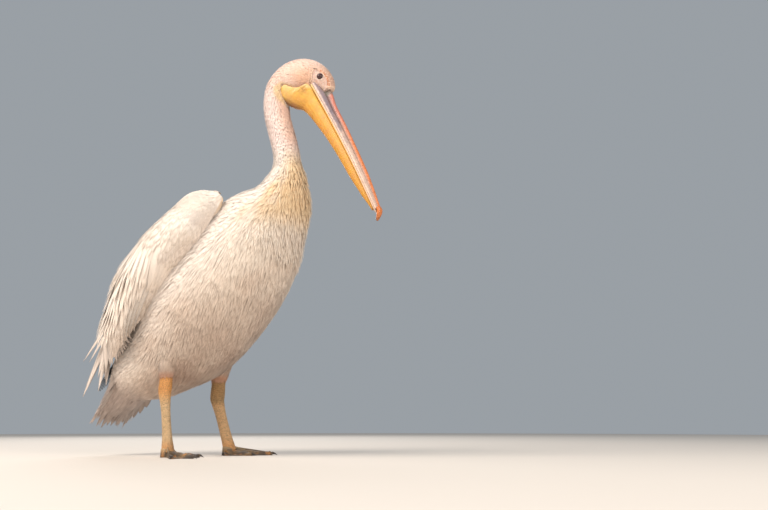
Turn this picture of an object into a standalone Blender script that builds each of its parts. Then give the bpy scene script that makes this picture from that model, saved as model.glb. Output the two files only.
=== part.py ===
"""Great white pelican, life size, standing at rest with its wings folded and its bill lowered.

The bird faces +X with its left side towards +Y, and stands on the floor at Z = 0. Lengths are metres.
The head, neck and trunk are slices of one body, a loft along a spine in the plane Y = 0. A folded wing is a
pad wrapped round the trunk's axis. Each foot is a height field with a flat sole.
"""

import math

import bmesh
import bpy
import numpy as np
from mathutils import Vector

# ---- driving dimensions -------------------------------------------------------------------------------
GAP = 0.0003  # between pieces that touch
BODY_SHIFT = Vector((-0.0925, 0.0, 0.0))  # brings the middle of the bird's box over the origin

# The body's spine from the bill's root to the tail's root: x, z, half depth, half width of its section.
BODY = {
    "bill root": (0.3180, 0.8590, 0.0150, 0.0150),
    "forehead": (0.3060, 0.8800, 0.0250, 0.0215),
    "eyes": (0.2820, 0.8980, 0.0360, 0.0280),
    "crown": (0.2500, 0.9100, 0.0415, 0.0335),
    "hind crown": (0.2170, 0.9060, 0.0430, 0.0350),
    "nape": (0.1880, 0.8840, 0.0390, 0.0335),
    "neck top": (0.1770, 0.8500, 0.0345, 0.0310),
    "neck bend": (0.1788, 0.8113, 0.0319, 0.0290),
    "neck middle": (0.1915, 0.7667, 0.0320, 0.0300),
    "neck low": (0.2046, 0.7209, 0.0321, 0.0315),
    "neck foot": (0.2107, 0.6821, 0.0345, 0.0370),
    "neck base": (0.2102, 0.6421, 0.0481, 0.0530),
    "shoulders": (0.1938, 0.5851, 0.0747, 0.0850),
    "breast": (0.1442, 0.5207, 0.1132, 0.1210),
    "keel": (0.0854, 0.4447, 0.1385, 0.1390),
    "belly": (0.0140, 0.3629, 0.1467, 0.1430),
    "hips": (-0.0515, 0.2895, 0.1385, 0.1260),
    "rump": (-0.1150, 0.2320, 0.1060, 0.0960),
    "vent": (-0.1745, 0.1860, 0.0720, 0.0790),
    "tail root": (-0.2080, 0.1520, 0.0400, 0.0600),
}
BODY_SEGMENTS = 26  # round the trunk
NECK_SEGMENTS = 20  # round the head and neck
BODY_SQUARENESS = 2.0  # exponent of the sections: 2 is an ellipse

# Where the one body is parted, and how many rings each length has.
HEAD = ("bill root", "nape", 14)
NECK_UPPER = ("nape", "neck bend", 5)
NECK_MIDDLE = ("neck bend", "neck low", 5)
NECK_LOWER = ("neck low", "neck base", 5)
TRUNK = ("neck base", "tail root", 19)

EYE_CENTRE = (0.3010, 0.0180, 0.8895)
EYE_RADIUS = 0.0088

# The bill's frame: its root between the gape corners, then the way it points in the plane Y = 0.
BILL_ROOT = Vector((0.2800, 0.0, 0.8740))
BILL_DROOP = math.radians(64.1)
BILL_LENGTH = 0.3800
BILL_BOW = 0.0060  # rise of its middle over the straight line
# Along the bill, as a share of its length: half width, height over the gape line, depth of the lower jaw.
BILL_SECTIONS = (
    (0.00, 0.0215, 0.0270, 0.0060),
    (0.09, 0.0215, 0.0290, 0.0070),
    (0.20, 0.0200, 0.0220, 0.0075),
    (0.35, 0.0185, 0.0205, 0.0075),
    (0.50, 0.0175, 0.0186, 0.0070),
    (0.73, 0.0160, 0.0165, 0.0060),
    (0.85, 0.0140, 0.0138, 0.0050),
    (0.958, 0.0100, 0.0108, 0.0042),
)
NAIL_LENGTH = 0.0290
NAIL_TURN = math.radians(44)  # how far it hooks down
# The pouch: along the bill from behind the gape to the chin, its depth under the jaw and half width.
POUCH_SECTIONS = (
    (-0.100, -0.0600, 0.0120, 0.0240),
    (-0.072, -0.0460, 0.0360, 0.0300),
    (-0.040, -0.0300, 0.0540, 0.0320),
    (-0.005, -0.0065, 0.0750, 0.0315),
    (0.040, -0.0065, 0.0660, 0.0290),
    (0.100, -0.0070, 0.0460, 0.0240),
    (0.200, -0.0070, 0.0370, 0.0190),
    (0.350, -0.0070, 0.0290, 0.0160),
    (0.500, -0.0065, 0.0240, 0.0145),
    (0.670, -0.0060, 0.0200, 0.0125),
    (0.830, -0.0050, 0.0130, 0.0095),
    (0.945, -0.0046, 0.0050, 0.0060),
)

# A folded wing, from the wrist to the tips: x and z of the axis it wraps, radius of the pad's middle over the
# back and to the side, half its thickness, and the angles from the bird's back of its upper and lower edges.
WING = (
    (0.1434, 0.5200, 0.1337, 0.1300, 0.0175, 40, 60),
    (0.1339, 0.5114, 0.1360, 0.1330, 0.0367, 28, 66),
    (0.1270, 0.5030, 0.1376, 0.1360, 0.0518, 15, 69),
    (0.1080, 0.4770, 0.1389, 0.1420, 0.0589, 7, 71),
    (0.0850, 0.4450, 0.1395, 0.1460, 0.0660, 3, 73),
    (0.0150, 0.3650, 0.1605, 0.1490, 0.0630, 2, 75),
    (-0.0550, 0.2950, 0.1569, 0.1400, 0.0580, 2, 77),
    (-0.1170, 0.2370, 0.1275, 0.1250, 0.0460, 2, 79),
    (-0.1640, 0.1920, 0.0985, 0.1140, 0.0340, 3, 80),
    (-0.1940, 0.1600, 0.0831, 0.1100, 0.0230, 5, 78),
    (-0.2140, 0.1370, 0.0580, 0.1070, 0.0130, 12, 75),
    (-0.2320, 0.1160, 0.0520, 0.1040, 0.0045, 26, 70),
)
WING_RINGS = 20
WING_SEGMENTS = 18
WING_BLUNTNESS = (0.45, 0.80)  # at its upper edge and its lower edge: under one squares the section

# The dark primaries lie between the wing's end and the tail: x, side and z of their middle, then half width
# and half thickness of the stack.
PRIMARIES = (
    (-0.1450, 0.0540, 0.2560, 0.0190, 0.0060),
    (-0.1820, 0.0440, 0.2180, 0.0220, 0.0075),
    (-0.2120, 0.0350, 0.1820, 0.0200, 0.0065),
    (-0.2290, 0.0300, 0.1600, 0.0160, 0.0050),
    (-0.2420, 0.0260, 0.1420, 0.0100, 0.0035),
    (-0.2480, 0.0240, 0.1330, 0.0030, 0.0015),
)

# The tail: a fan of flight feathers from the rump, its plane tilted down and back.
TAIL_ROOT = Vector((-0.1780, 0.0, 0.2070))
TAIL_DROOP = math.radians(60)
TAIL_LENGTH = 0.1630
TAIL_BASE = 0.0480  # half the width of the feathers' roots together
TAIL_SPREAD = math.radians(21)  # from the middle to each side
TAIL_FEATHERS = 9
TAIL_NOTCH = 0.0090  # depth of the steps between the feathers' tips
TAIL_ROUNDING = 0.36  # how much shorter the outermost feathers are
TAIL_THICKNESS = (0.0110, 0.0030)  # at the root and at the tips

# Each leg: where its foot stands, the way the foot points, then the joints up the leg.
LEGS = {
    "right": {
        "foot": (-0.0250, -0.0800),
        "heading": math.radians(-24),
        "heel": (-0.0440, -0.0770, 0.1400),
        "knee": (-0.0450, -0.0700, 0.2400),
    },
    "left": {
        "foot": (0.0330, 0.0800),
        "heading": math.radians(14),
        "heel": (-0.0020, 0.0760, 0.1280),
        "knee": (0.0060, 0.0700, 0.2400),
    },
}
ANKLE_HEIGHT = 0.0230
# Up the tarsus from the ankle to the heel: share of the way, half width and half depth.
TARSUS = (
    (0.00, 0.0125, 0.0150),
    (0.12, 0.0105, 0.0140),
    (0.35, 0.0091, 0.0130),
    (0.65, 0.0091, 0.0130),
    (0.85, 0.0107, 0.0146),
    (1.00, 0.0125, 0.0165),
)
# Up the bare shank from the heel to the thigh's feathers.
SHANK = (
    (0.00, 0.0127, 0.0167),
    (0.12, 0.0135, 0.0172),
    (0.28, 0.0128, 0.0162),
    (0.42, 0.0122, 0.0156),
)
# The feathered thigh, from its lower rim up into the trunk.
THIGH = (
    (0.42, 0.0165, 0.0200),
    (0.52, 0.0250, 0.0280),
    (0.72, 0.0340, 0.0380),
    (1.10, 0.0370, 0.0420),
)
LEG_SEGMENTS = 14

# The toes: angle from the foot's heading towards its inner side in degrees, length, ridge height, claw.
TOES = {
    "outer": (-27, 0.1000, 0.0095, 0.0110),
    "middle": (0, 0.1080, 0.0105, 0.0130),
    "inner": (29, 0.0800, 0.0095, 0.0110),
    "hind": (88, 0.0460, 0.0075, 0.0090),
}
TOE_HALF_WIDTH = 0.0070
WEB_THICKNESS = 0.0022
WEB_HOLLOW = 0.16  # how far the web's edge draws back between two toes, as a share of their length
HEEL_PAD = 0.0150

# ---- materials ----------------------------------------------------------------------------------------
FINISHES = {
    "feathers": ((0.86, 0.80, 0.74), 0.75),
    "bill": ((0.45, 0.42, 0.44), 0.40),
    "primaries": ((0.05, 0.045, 0.045), 0.60),
    "nail": ((0.60, 0.16, 0.07), 0.35),
    "pouch": ((0.80, 0.48, 0.12), 0.45),
    "eye": ((0.05, 0.02, 0.02), 0.10),
    "leg": ((0.78, 0.50, 0.26), 0.60),
    "foot": ((0.22, 0.17, 0.14), 0.65),
    "claw": ((0.05, 0.04, 0.04), 0.40),
}


def clear_scene():
    """Removes every object that the file opens with."""
    for obj in list(bpy.data.objects):
        bpy.data.objects.remove(obj, do_unlink=True)


def finish(name):
    """The named finish as a material, made once."""
    material = bpy.data.materials.get(name)
    if material is None:
        colour, roughness = FINISHES[name]
        material = bpy.data.materials.new(name)
        material.use_nodes = True
        shader = material.node_tree.nodes["Principled BSDF"]
        shader.inputs["Base Color"].default_value = (*colour, 1.0)
        shader.inputs["Roughness"].default_value = roughness
        shader.inputs["Metallic"].default_value = 0.0
    return material


def collection(name, hidden=False):
    """A collection in the scene, left out of renders when it holds cutters."""
    made = bpy.data.collections.new(name)
    made.hide_render = hidden
    bpy.context.scene.collection.children.link(made)
    return made


def piece(name, bm, finish_name, home):
    """A closed mesh from bmesh as a named object with its finish."""
    bmesh.ops.recalc_face_normals(bm, faces=bm.faces)
    mesh = bpy.data.meshes.new(name)
    bm.to_mesh(mesh)
    bm.free()
    mesh.materials.append(finish(finish_name))
    mesh.shade_smooth()
    obj = bpy.data.objects.new(name, mesh)
    home.objects.link(obj)
    return obj


def loft(rings):
    """Closed bmesh through rings of points: an array of rings, each with the same number of points."""
    bm = bmesh.new()
    rows = [[bm.verts.new(point) for point in ring] for ring in rings]
    count = len(rows[0])
    for near, far in zip(rows, rows[1:]):
        for i in range(count):
            j = (i + 1) % count
            bm.faces.new((near[i], near[j], far[j], far[i]))
    bm.faces.new(rows[0])
    bm.faces.new(rows[-1][::-1])
    bmesh.ops.triangulate(bm, faces=bm.faces)
    return bm


def through(table, at):
    """Rows read from a smooth curve through the table's rows, a Catmull-Rom spline, at each row number."""
    table = np.asarray(table, float)
    at = np.clip(np.asarray(at, float), 0, len(table) - 1)
    first = np.minimum(at.astype(int), len(table) - 2)
    t = (at - first)[:, None]
    last = len(table) - 1
    p0, p1 = table[np.maximum(first - 1, 0)], table[first]
    p2, p3 = table[first + 1], table[np.minimum(first + 2, last)]
    return 0.5 * (
        2 * p1
        + (p2 - p0) * t
        + (2 * p0 - 5 * p1 + 4 * p2 - p3) * t**2
        + (3 * p1 - p0 - 3 * p2 + p3) * t**3
    )


def facing(xz):
    """Unit vectors along a path in the plane Y = 0, and square to it on the side of the bird's back."""
    along = np.gradient(xz, axis=0)
    along /= np.linalg.norm(along, axis=1, keepdims=True)
    return along, np.stack([along[:, 1], -along[:, 0]], axis=1)


def body_rings(first, last, count, segments, ends):
    """Rings of the body between two named stations, with each end moved in by its share of GAP."""
    names = list(BODY)
    table = list(BODY.values())
    at = np.linspace(names.index(first), names.index(last), count)
    fine = through(table, at)
    step = np.linalg.norm(np.diff(fine[[0, 1, -2, -1], :2], axis=0), axis=1)[[0, 2]]
    at[0] += ends[0] * GAP / step[0] * (at[1] - at[0])
    at[-1] -= ends[1] * GAP / step[1] * (at[-1] - at[-2])
    x, z, depth, width = through(table, at).T
    _, back = facing(through(table, np.linspace(0, len(table) - 1, 400))[:, :2])
    normal = np.stack(
        [np.interp(at, np.linspace(0, len(table) - 1, 400), back[:, i]) for i in (0, 1)], axis=1
    )
    round_ = np.linspace(0, 2 * math.pi, segments, endpoint=False)
    power = 2 / BODY_SQUARENESS
    up = np.sign(np.cos(round_)) * np.abs(np.cos(round_)) ** power
    side = np.sign(np.sin(round_)) * np.abs(np.sin(round_)) ** power
    rings = np.zeros((count, segments, 3))
    rings[..., 0] = x[:, None] + normal[:, :1] * depth[:, None] * up
    rings[..., 1] = width[:, None] * side
    rings[..., 2] = z[:, None] + normal[:, 1:] * depth[:, None] * up
    return rings


def apply_modifiers(obj):
    """Replaces the object's mesh by its evaluated one and drops the modifiers."""
    graph = bpy.context.evaluated_depsgraph_get()
    mesh = bpy.data.meshes.new_from_object(obj.evaluated_get(graph))
    obj.modifiers.clear()
    obj.data = mesh


def grown(obj, cutters):
    """A cutter: a copy of the object pushed out by GAP all over."""
    copy = bpy.data.objects.new(obj.name + "_cutter", obj.data.copy())
    cutters.objects.link(copy)
    bm = bmesh.new()
    bm.from_mesh(copy.data)
    bm.normal_update()
    for vert in bm.verts:
        vert.co += vert.normal * GAP * vert.calc_shell_factor()
    bm.to_mesh(copy.data)
    bm.free()
    copy.hide_render = True
    copy.display_type = "WIRE"
    return copy


def keep_largest(obj):
    """Drops the crumbs that a cut leaves beside the piece."""
    bm = bmesh.new()
    bm.from_mesh(obj.data)
    left = set(bm.verts)
    shells = []
    while left:
        shell, edge = set(), {left.pop()}
        while edge:
            shell |= edge
            edge = {e.other_vert(v) for v in edge for e in v.link_edges} - shell
        left -= shell
        shells.append(shell)
    largest = max(shells, key=len)
    bmesh.ops.delete(bm, geom=[v for v in bm.verts if v not in largest], context="VERTS")
    bm.to_mesh(obj.data)
    bm.free()


def carve(obj, others, cutters):
    """Cuts room for other pieces out of the object, GAP clear of each."""
    for other in others:
        cut = obj.modifiers.new("Room for " + other.name, "BOOLEAN")
        cut.operation = "DIFFERENCE"
        cut.object = grown(other, cutters)
        apply_modifiers(obj)
    keep_largest(obj)
    obj.data.shade_smooth()


def make_body(home):
    """The head, three lengths of neck and the trunk, parted by thin cuts."""
    made = {}
    for name, (first, last, count), segments, ends in (
        ("head", HEAD, NECK_SEGMENTS, (0, 0.5)),
        ("neck_upper", NECK_UPPER, NECK_SEGMENTS, (0.5, 0.5)),
        ("neck_middle", NECK_MIDDLE, NECK_SEGMENTS, (0.5, 0.5)),
        ("neck_lower", NECK_LOWER, NECK_SEGMENTS, (0.5, 0.5)),
        ("trunk", TRUNK, BODY_SEGMENTS, (0.5, 0)),
    ):
        rings = body_rings(first, last, count, segments, ends)
        made[name] = piece(name, loft(rings), "feathers", home)
    return made


def bill_frame():
    """Unit vectors along the bill and square to it on the culmen's side."""
    along = Vector((math.cos(BILL_DROOP), 0, -math.sin(BILL_DROOP)))
    return along, Vector((math.sin(BILL_DROOP), 0, math.cos(BILL_DROOP)))


def bill_point(share, across, rise):
    """A point of the bill: its share of the length, its place across, and its height over the gape line."""
    along, up = bill_frame()
    bow = BILL_BOW * 4 * max(share, 0) * max(1 - share, 0)
    return BILL_ROOT + along * share * BILL_LENGTH + up * (rise + bow) + Vector((0, across, 0))


def upper_ring(share, width, height):
    """A section of the upper bill: thin edges, sloping plates and the culmen's ridge between two grooves."""
    half = ((0.12, 1.00), (0.22, 0.90), (0.31, 0.55), (0.64, 0.44), (1.00, 0.20), (1.00, 0.02))
    outline = [(-y, z) for y, z in half[::-1]] + list(half) + [(0.0, 0.0)]
    return [bill_point(share, width * y, GAP + height * z) for y, z in outline]


def lower_ring(share, width, depth):
    """A section of the lower jaw: a shallow trough under the gape line."""
    outline = ((-0.97, 0.0), (0.97, 0.0), (0.90, -0.8), (0.5, -1.0), (-0.5, -1.0), (-0.90, -0.8))
    return [bill_point(share, width * y, depth * z) for y, z in outline]


def make_bill(home):
    """The upper bill with its hooked nail, the lower jaw and the pouch under it."""
    at = np.linspace(0, len(BILL_SECTIONS) - 1, 12)
    rows = through(BILL_SECTIONS, at)
    upper = loft([upper_ring(s, w, h) for s, w, h, _ in rows])
    lower = loft([lower_ring(s, w, d) for s, w, _, d in rows])
    made = {
        "upper_bill": piece("upper_bill", upper, "bill", home),
        "lower_bill": piece("lower_bill", lower, "bill", home),
        "bill_nail": piece("bill_nail", loft(nail_rings()), "nail", home),
        "pouch": piece("pouch", loft(pouch_rings()), "pouch", home),
    }
    return made


def nail_rings():
    """The nail carries on from the upper bill and turns down over the tip of the lower jaw."""
    start, width, height, _ = BILL_SECTIONS[-1]
    start += GAP / BILL_LENGTH
    rings = []
    for t in np.linspace(0, 1, 6):
        turn = t * NAIL_TURN
        reach = NAIL_LENGTH / NAIL_TURN
        share = start + reach * math.sin(turn) / BILL_LENGTH
        sink = reach * (1 - math.cos(turn))
        half = width * math.sqrt(1 - 0.92 * t**2)
        thick = height * (1 - 0.65 * t + 0.45 * math.sin(math.pi * t))
        ring = []
        for angle in np.linspace(0, 2 * math.pi, 10, endpoint=False):
            lift = thick * (0.5 + 0.5 * math.cos(angle)) + 2 * GAP
            back = math.sin(turn) * (lift - thick) / BILL_LENGTH
            ring.append(bill_point(share + back, half * math.sin(angle), lift * math.cos(turn) - sink))
        rings.append(ring)
    return rings


def pouch_rings():
    """The drawn-in pouch: round-bottomed sections that hang from the jaw and spread over the throat."""
    rows = through(POUCH_SECTIONS, np.linspace(0, len(POUCH_SECTIONS) - 1, 16))
    rings = []
    for share, top, depth, width in rows:
        ring = []
        for angle in np.linspace(0, math.pi, 9):
            ring.append(
                bill_point(share, width * math.cos(angle), top - GAP - depth * math.sin(angle) ** 0.8)
            )
        rings.append(ring)
    return rings


def make_eye(name, side, home):
    """An eyeball that sits in the side of the head."""
    bm = bmesh.new()
    bmesh.ops.create_uvsphere(bm, u_segments=14, v_segments=8, radius=EYE_RADIUS)
    x, y, z = EYE_CENTRE
    bmesh.ops.translate(bm, verts=bm.verts, vec=Vector((x, side * y, z)))
    return piece(name, bm, "eye", home)


def blunt(value, power):
    """A cosine or a sine raised to a power under one, which squares the corners of a section."""
    return math.copysign(abs(value) ** power, value)


def wing_rings(side):
    """Rings of a folded wing: each wraps round the trunk's axis from its upper edge to its lower one."""
    fine = np.linspace(0, len(WING) - 1, 400)
    _, back_fine = facing(through(WING, fine)[:, :2])
    at = np.linspace(0, len(WING) - 1, WING_RINGS)
    rings = []
    for place, (x, z, over, beside, thick, top, bottom) in zip(at, through(WING, at)):
        back = [np.interp(place, fine, back_fine[:, i]) for i in (0, 1)]
        middle, half = (bottom + top) / 2, (bottom - top) / 2
        ring = []
        for turn in np.linspace(0, 2 * math.pi, WING_SEGMENTS, endpoint=False):
            power = WING_BLUNTNESS[math.cos(turn) > 0]
            lean = math.radians(middle + half * blunt(math.cos(turn), power))
            lift = thick * blunt(math.sin(turn), power)
            up = (over + lift) * math.cos(lean)
            y = max((beside + lift) * math.sin(lean), 3 * GAP)
            ring.append((x + back[0] * up, side * y, z + back[1] * up))
        rings.append(ring)
    return rings


def make_primaries(side, way, home):
    """The dark flight feathers of one wing as a flat stack that tapers to their tips."""
    rows = through(PRIMARIES, np.linspace(0, len(PRIMARIES) - 1, 11))
    along = np.gradient(rows[:, :3], axis=0)
    rings = []
    for (x, y, z, width, thick), run in zip(rows, along):
        run = Vector(run).normalized()
        across = Vector((0, 1, 0)) - run * run.y
        across.normalize()
        up = across.cross(run)
        ring = []
        for angle in np.linspace(0, 2 * math.pi, 12, endpoint=False):
            point = Vector((x, y, z)) + across * width * math.cos(angle) + up * thick * math.sin(angle)
            ring.append((point.x, way * point.y, point.z))
        rings.append(ring)
    return piece("primaries_" + side, loft(rings), "primaries", home)


def make_tail(home):
    """The tail as one fan, its end stepped by the tips of the feathers."""
    along = Vector((-math.cos(TAIL_DROOP), 0, -math.sin(TAIL_DROOP)))
    up = Vector((-math.sin(TAIL_DROOP), 0, math.cos(TAIL_DROOP)))
    per_feather = 4
    count = TAIL_FEATHERS * per_feather
    rings = []
    for i in range(count + 1):
        spread = TAIL_SPREAD * (2 * i / count - 1)
        tip = abs((i % per_feather) / per_feather - 0.5) * 2  # 1 between two feathers, 0 at a tip
        length = TAIL_LENGTH * (1 - TAIL_ROUNDING * (spread / TAIL_SPREAD) ** 2) - TAIL_NOTCH * tip**2
        way = along * math.cos(spread) + Vector((0, math.sin(spread), 0))
        root = TAIL_ROOT + Vector((0, TAIL_BASE * spread / TAIL_SPREAD, 0))
        bow = -up * 0.014 * (spread / TAIL_SPREAD) ** 2
        ring = []
        for share, side in ((0.0, 1), (0.5, 1), (1.0, 1), (1.0, -1), (0.5, -1), (0.0, -1)):
            thick = TAIL_THICKNESS[0] + (TAIL_THICKNESS[1] - TAIL_THICKNESS[0]) * share
            ring.append(root + way * length * share + bow * share + up * side * thick / 2)
        rings.append(ring)
    return piece("tail", loft(rings), "feathers", home)


def leg_rings(low, high, table, heading):
    """Level rings up a length of leg from low to high, wider along the foot's heading than across it."""
    low, high = Vector(low), Vector(high)
    forward = Vector((math.cos(heading), math.sin(heading), 0))
    across = Vector((-math.sin(heading), math.cos(heading), 0))
    rings = []
    for share, half_width, half_depth in table:
        centre = low.lerp(high, share)
        rings.append(
            [
                centre + across * half_width * math.sin(a) + forward * half_depth * math.cos(a)
                for a in np.linspace(0, 2 * math.pi, LEG_SEGMENTS, endpoint=False)
            ]
        )
    return rings


def toe_outline(angle, inner):
    """How far the foot reaches at an angle from its heading, in degrees: toes, webs, then the heel pad."""
    toes = sorted((toe[0] * inner, toe[1]) for toe in TOES.values())
    for (low, near), (high, far) in zip(toes, toes[1:]):
        if low <= angle <= high:
            share = (angle - low) / (high - low)
            hollow = WEB_HOLLOW * 4 * share * (1 - share)
            return (near + (far - near) * share) * (1 - hollow)
    past = min(abs(angle - toe) for toe, _ in toes)
    length = min(toes, key=lambda toe: abs(angle - toe[0]))[1]
    half = math.degrees(TOE_HALF_WIDTH / length)
    return max(HEEL_PAD, length * (1 - 0.5 * (past / half) ** 2)) if past <= half else HEEL_PAD


def foot_height(x, y, inner):
    """Height of the foot's top over the floor: the web, the toes' ridges and the mound under the ankle."""
    mound = (ANKLE_HEIGHT - GAP) * math.exp(-((math.hypot(x, y) / 0.020) ** 4))
    height = max(WEB_THICKNESS, mound)
    for angle, length, ridge, _ in TOES.values():
        turn = math.radians(angle * inner)
        along = x * math.cos(turn) + y * math.sin(turn)
        off = abs(y * math.cos(turn) - x * math.sin(turn)) / TOE_HALF_WIDTH
        if along > 0 and off < 1:
            taper = 1.25 - 0.45 * along / length
            height = max(height, WEB_THICKNESS + (ridge * taper - WEB_THICKNESS) * (1 - off**2) ** 0.5)
    return height


def make_foot(side, leg, home):
    """A webbed foot: a polar height field over a flat sole."""
    inner = 1 if side == "right" else -1
    toes = sorted(toe[0] * inner for toe in TOES.values())
    offsets = (-5.5, -2.5, 0, 2.5, 5.5)
    angles = {toe + off for toe in toes for off in offsets}
    angles |= {low + (high - low) * s for low, high in zip(toes, toes[1:]) for s in (0.4, 0.6)}
    end = toes[-1] + offsets[-1]
    angles |= set(np.linspace(end, toes[0] + offsets[0] + 360, 9)[1:-1])
    angles = sorted(angles)
    shares = (0.16, 0.28, 0.45, 0.65, 0.84, 1.0)
    x0, y0 = leg["foot"]
    turn = leg["heading"]
    bm = bmesh.new()

    def place(x, y, z):
        """A vertex of the foot from its own frame."""
        return bm.verts.new(
            (
                x0 + x * math.cos(turn) - y * math.sin(turn),
                y0 + x * math.sin(turn) + y * math.cos(turn),
                z,
            )
        )

    top, sole = [], []
    for angle in angles:
        bearing = math.radians(angle)
        reach = toe_outline((angle + 180) % 360 - 180, inner)
        rays = [(reach * s * math.cos(bearing), reach * s * math.sin(bearing)) for s in shares]
        heights = [foot_height(x, y, inner) for x, y in rays]
        heights[-1] = min(heights[-1], 0.0045)
        top.append([place(x, y, h) for (x, y), h in zip(rays, heights)])
        sole.append(place(*rays[-1], 0.0))
    crown, base = place(0, 0, foot_height(0, 0, inner)), place(0, 0, 0)
    for i in range(len(angles)):
        j = (i + 1) % len(angles)
        bm.faces.new((crown, top[i][0], top[j][0]))
        for k in range(len(shares) - 1):
            bm.faces.new((top[i][k], top[i][k + 1], top[j][k + 1], top[j][k]))
        bm.faces.new((top[i][-1], sole[i], sole[j], top[j][-1]))
        bm.faces.new((sole[j], sole[i], base))
    bmesh.ops.triangulate(bm, faces=[f for f in bm.faces if len(f.verts) > 3])
    return piece("foot_" + side, bm, "foot", home)


def make_claws(side, leg, home):
    """A curved claw at the tip of each toe, its point just over the floor."""
    inner = 1 if side == "right" else -1
    for name, (angle, length, _, claw) in TOES.items():
        bearing = leg["heading"] + math.radians(angle * inner)
        way = Vector((math.cos(bearing), math.sin(bearing), 0))
        across = Vector((-way.y, way.x, 0))
        start = Vector((*leg["foot"], 0)) + way * (length + GAP)
        rings = []
        for t in np.linspace(0, 1, 5):
            centre = start + way * claw * t + Vector((0, 0, 0.0045 * (1 - t**2) + 0.0007))
            half = 0.0034 * (1 - 0.88 * t)
            rings.append(
                [
                    centre + across * half * math.cos(a) + Vector((0, 0, half * math.sin(a)))
                    for a in np.linspace(0, 2 * math.pi, 8, endpoint=False)
                ]
            )
        piece(f"claw_{name}_{side}", loft(rings), "claw", home)


def make_leg(side, leg, trunk, home, cutters):
    """The foot and claws, tarsus, bare shank and feathered thigh of one leg."""
    heading = leg["heading"]
    make_foot(side, leg, home)
    make_claws(side, leg, home)
    ankle = (*leg["foot"], ANKLE_HEIGHT)
    heel = Vector(leg["heel"])
    piece("tarsus_" + side, loft(leg_rings(ankle, heel, TARSUS, heading)), "leg", home)
    lifted = heel + Vector((0, 0, GAP))
    knee = Vector(leg["knee"])
    shank = piece("shank_" + side, loft(leg_rings(lifted, knee, SHANK, heading)), "leg", home)
    carve(shank, [trunk], cutters)
    thigh = leg_rings(lifted + Vector((0, 0, GAP)), knee, THIGH, heading)
    thigh = piece("thigh_" + side, loft(thigh), "feathers", home)
    carve(thigh, [trunk], cutters)


def shift_all(home):
    """Moves every piece by BODY_SHIFT, inside its mesh."""
    for obj in home.objects:
        for vert in obj.data.vertices:
            vert.co += BODY_SHIFT


def main():
    clear_scene()
    home = collection("pelican")
    cutters = collection("pelican cutters", hidden=True)
    body = make_body(home)
    trunk, head = body["trunk"], body["head"]
    eyes = [make_eye("eye_right", -1, home), make_eye("eye_left", 1, home)]
    carve(head, eyes, cutters)
    bill = make_bill(home)
    tail = make_tail(home)
    carve(tail, [trunk], cutters)
    carve(bill["upper_bill"], [head], cutters)
    carve(bill["lower_bill"], [head, bill["bill_nail"]], cutters)
    carve(bill["pouch"], [head, body["neck_upper"], bill["lower_bill"]], cutters)
    for side, way in (("right", -1), ("left", 1)):
        wing = piece("wing_" + side, loft(wing_rings(way)), "feathers", home)
        carve(wing, [trunk, tail], cutters)
        primaries = make_primaries(side, way, home)
        carve(primaries, [trunk, tail, wing], cutters)
        make_leg(side, LEGS[side], trunk, home, cutters)
    shift_all(home)


main()
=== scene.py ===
"""Looks of a life-size great white pelican, standing at rest with its bill lowered.

The bird faces +X with its left side towards +Y. Shapes are worked out in the bird's own frame, in metres, and
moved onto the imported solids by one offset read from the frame. One skin covers all flesh. Feathers are closed
vanes combed over the surfaces of the body, the wings and the legs.
"""

import logging
import math
from dataclasses import dataclass, field, replace
from enum import Enum
from typing import Callable, Sequence

import bpy
import numpy as np
from bpy.types import ID, Material, Mesh, Node, NodeLinks, Nodes, NodeSocket, Object, bpy_prop_collection
from mathutils import Matrix, Vector

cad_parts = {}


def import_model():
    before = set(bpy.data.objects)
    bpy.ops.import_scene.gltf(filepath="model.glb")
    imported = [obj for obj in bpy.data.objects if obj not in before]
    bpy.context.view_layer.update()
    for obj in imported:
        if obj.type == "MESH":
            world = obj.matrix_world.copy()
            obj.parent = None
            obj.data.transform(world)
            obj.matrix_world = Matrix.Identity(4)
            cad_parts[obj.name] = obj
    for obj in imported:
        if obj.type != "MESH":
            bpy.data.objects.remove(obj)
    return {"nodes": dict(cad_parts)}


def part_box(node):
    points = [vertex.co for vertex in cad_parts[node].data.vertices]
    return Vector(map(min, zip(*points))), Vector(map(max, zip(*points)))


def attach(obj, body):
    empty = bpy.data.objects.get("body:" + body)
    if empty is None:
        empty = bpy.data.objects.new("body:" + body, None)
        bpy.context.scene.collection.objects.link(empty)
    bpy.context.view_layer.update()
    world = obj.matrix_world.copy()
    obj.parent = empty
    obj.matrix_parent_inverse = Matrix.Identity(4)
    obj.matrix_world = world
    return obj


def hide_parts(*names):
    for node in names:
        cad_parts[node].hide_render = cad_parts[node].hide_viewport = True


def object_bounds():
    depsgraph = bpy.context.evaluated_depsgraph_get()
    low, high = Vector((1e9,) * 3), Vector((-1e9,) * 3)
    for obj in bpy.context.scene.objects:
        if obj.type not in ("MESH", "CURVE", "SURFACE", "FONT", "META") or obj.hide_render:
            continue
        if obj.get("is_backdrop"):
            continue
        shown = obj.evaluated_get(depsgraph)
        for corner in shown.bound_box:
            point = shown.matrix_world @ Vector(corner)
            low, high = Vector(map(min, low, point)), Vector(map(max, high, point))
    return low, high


Array = np.ndarray
OfOne = Callable[[Array], Array]
OfTwo = Callable[[Array, Array], Array]
OfThree = Callable[[Array, Array, Array], Array]
LOG = logging.getLogger("pelican")
PATCH = 0.003  # side of a feather's patch on the bake map
TENTHS = 1e4  # tenths of a millimetre to the metre: the tables below hold lengths in whole tenths
ACROSS = np.array((0, 1.0, 0))
UPWARD = np.array((0, 0, 1.0))

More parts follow.
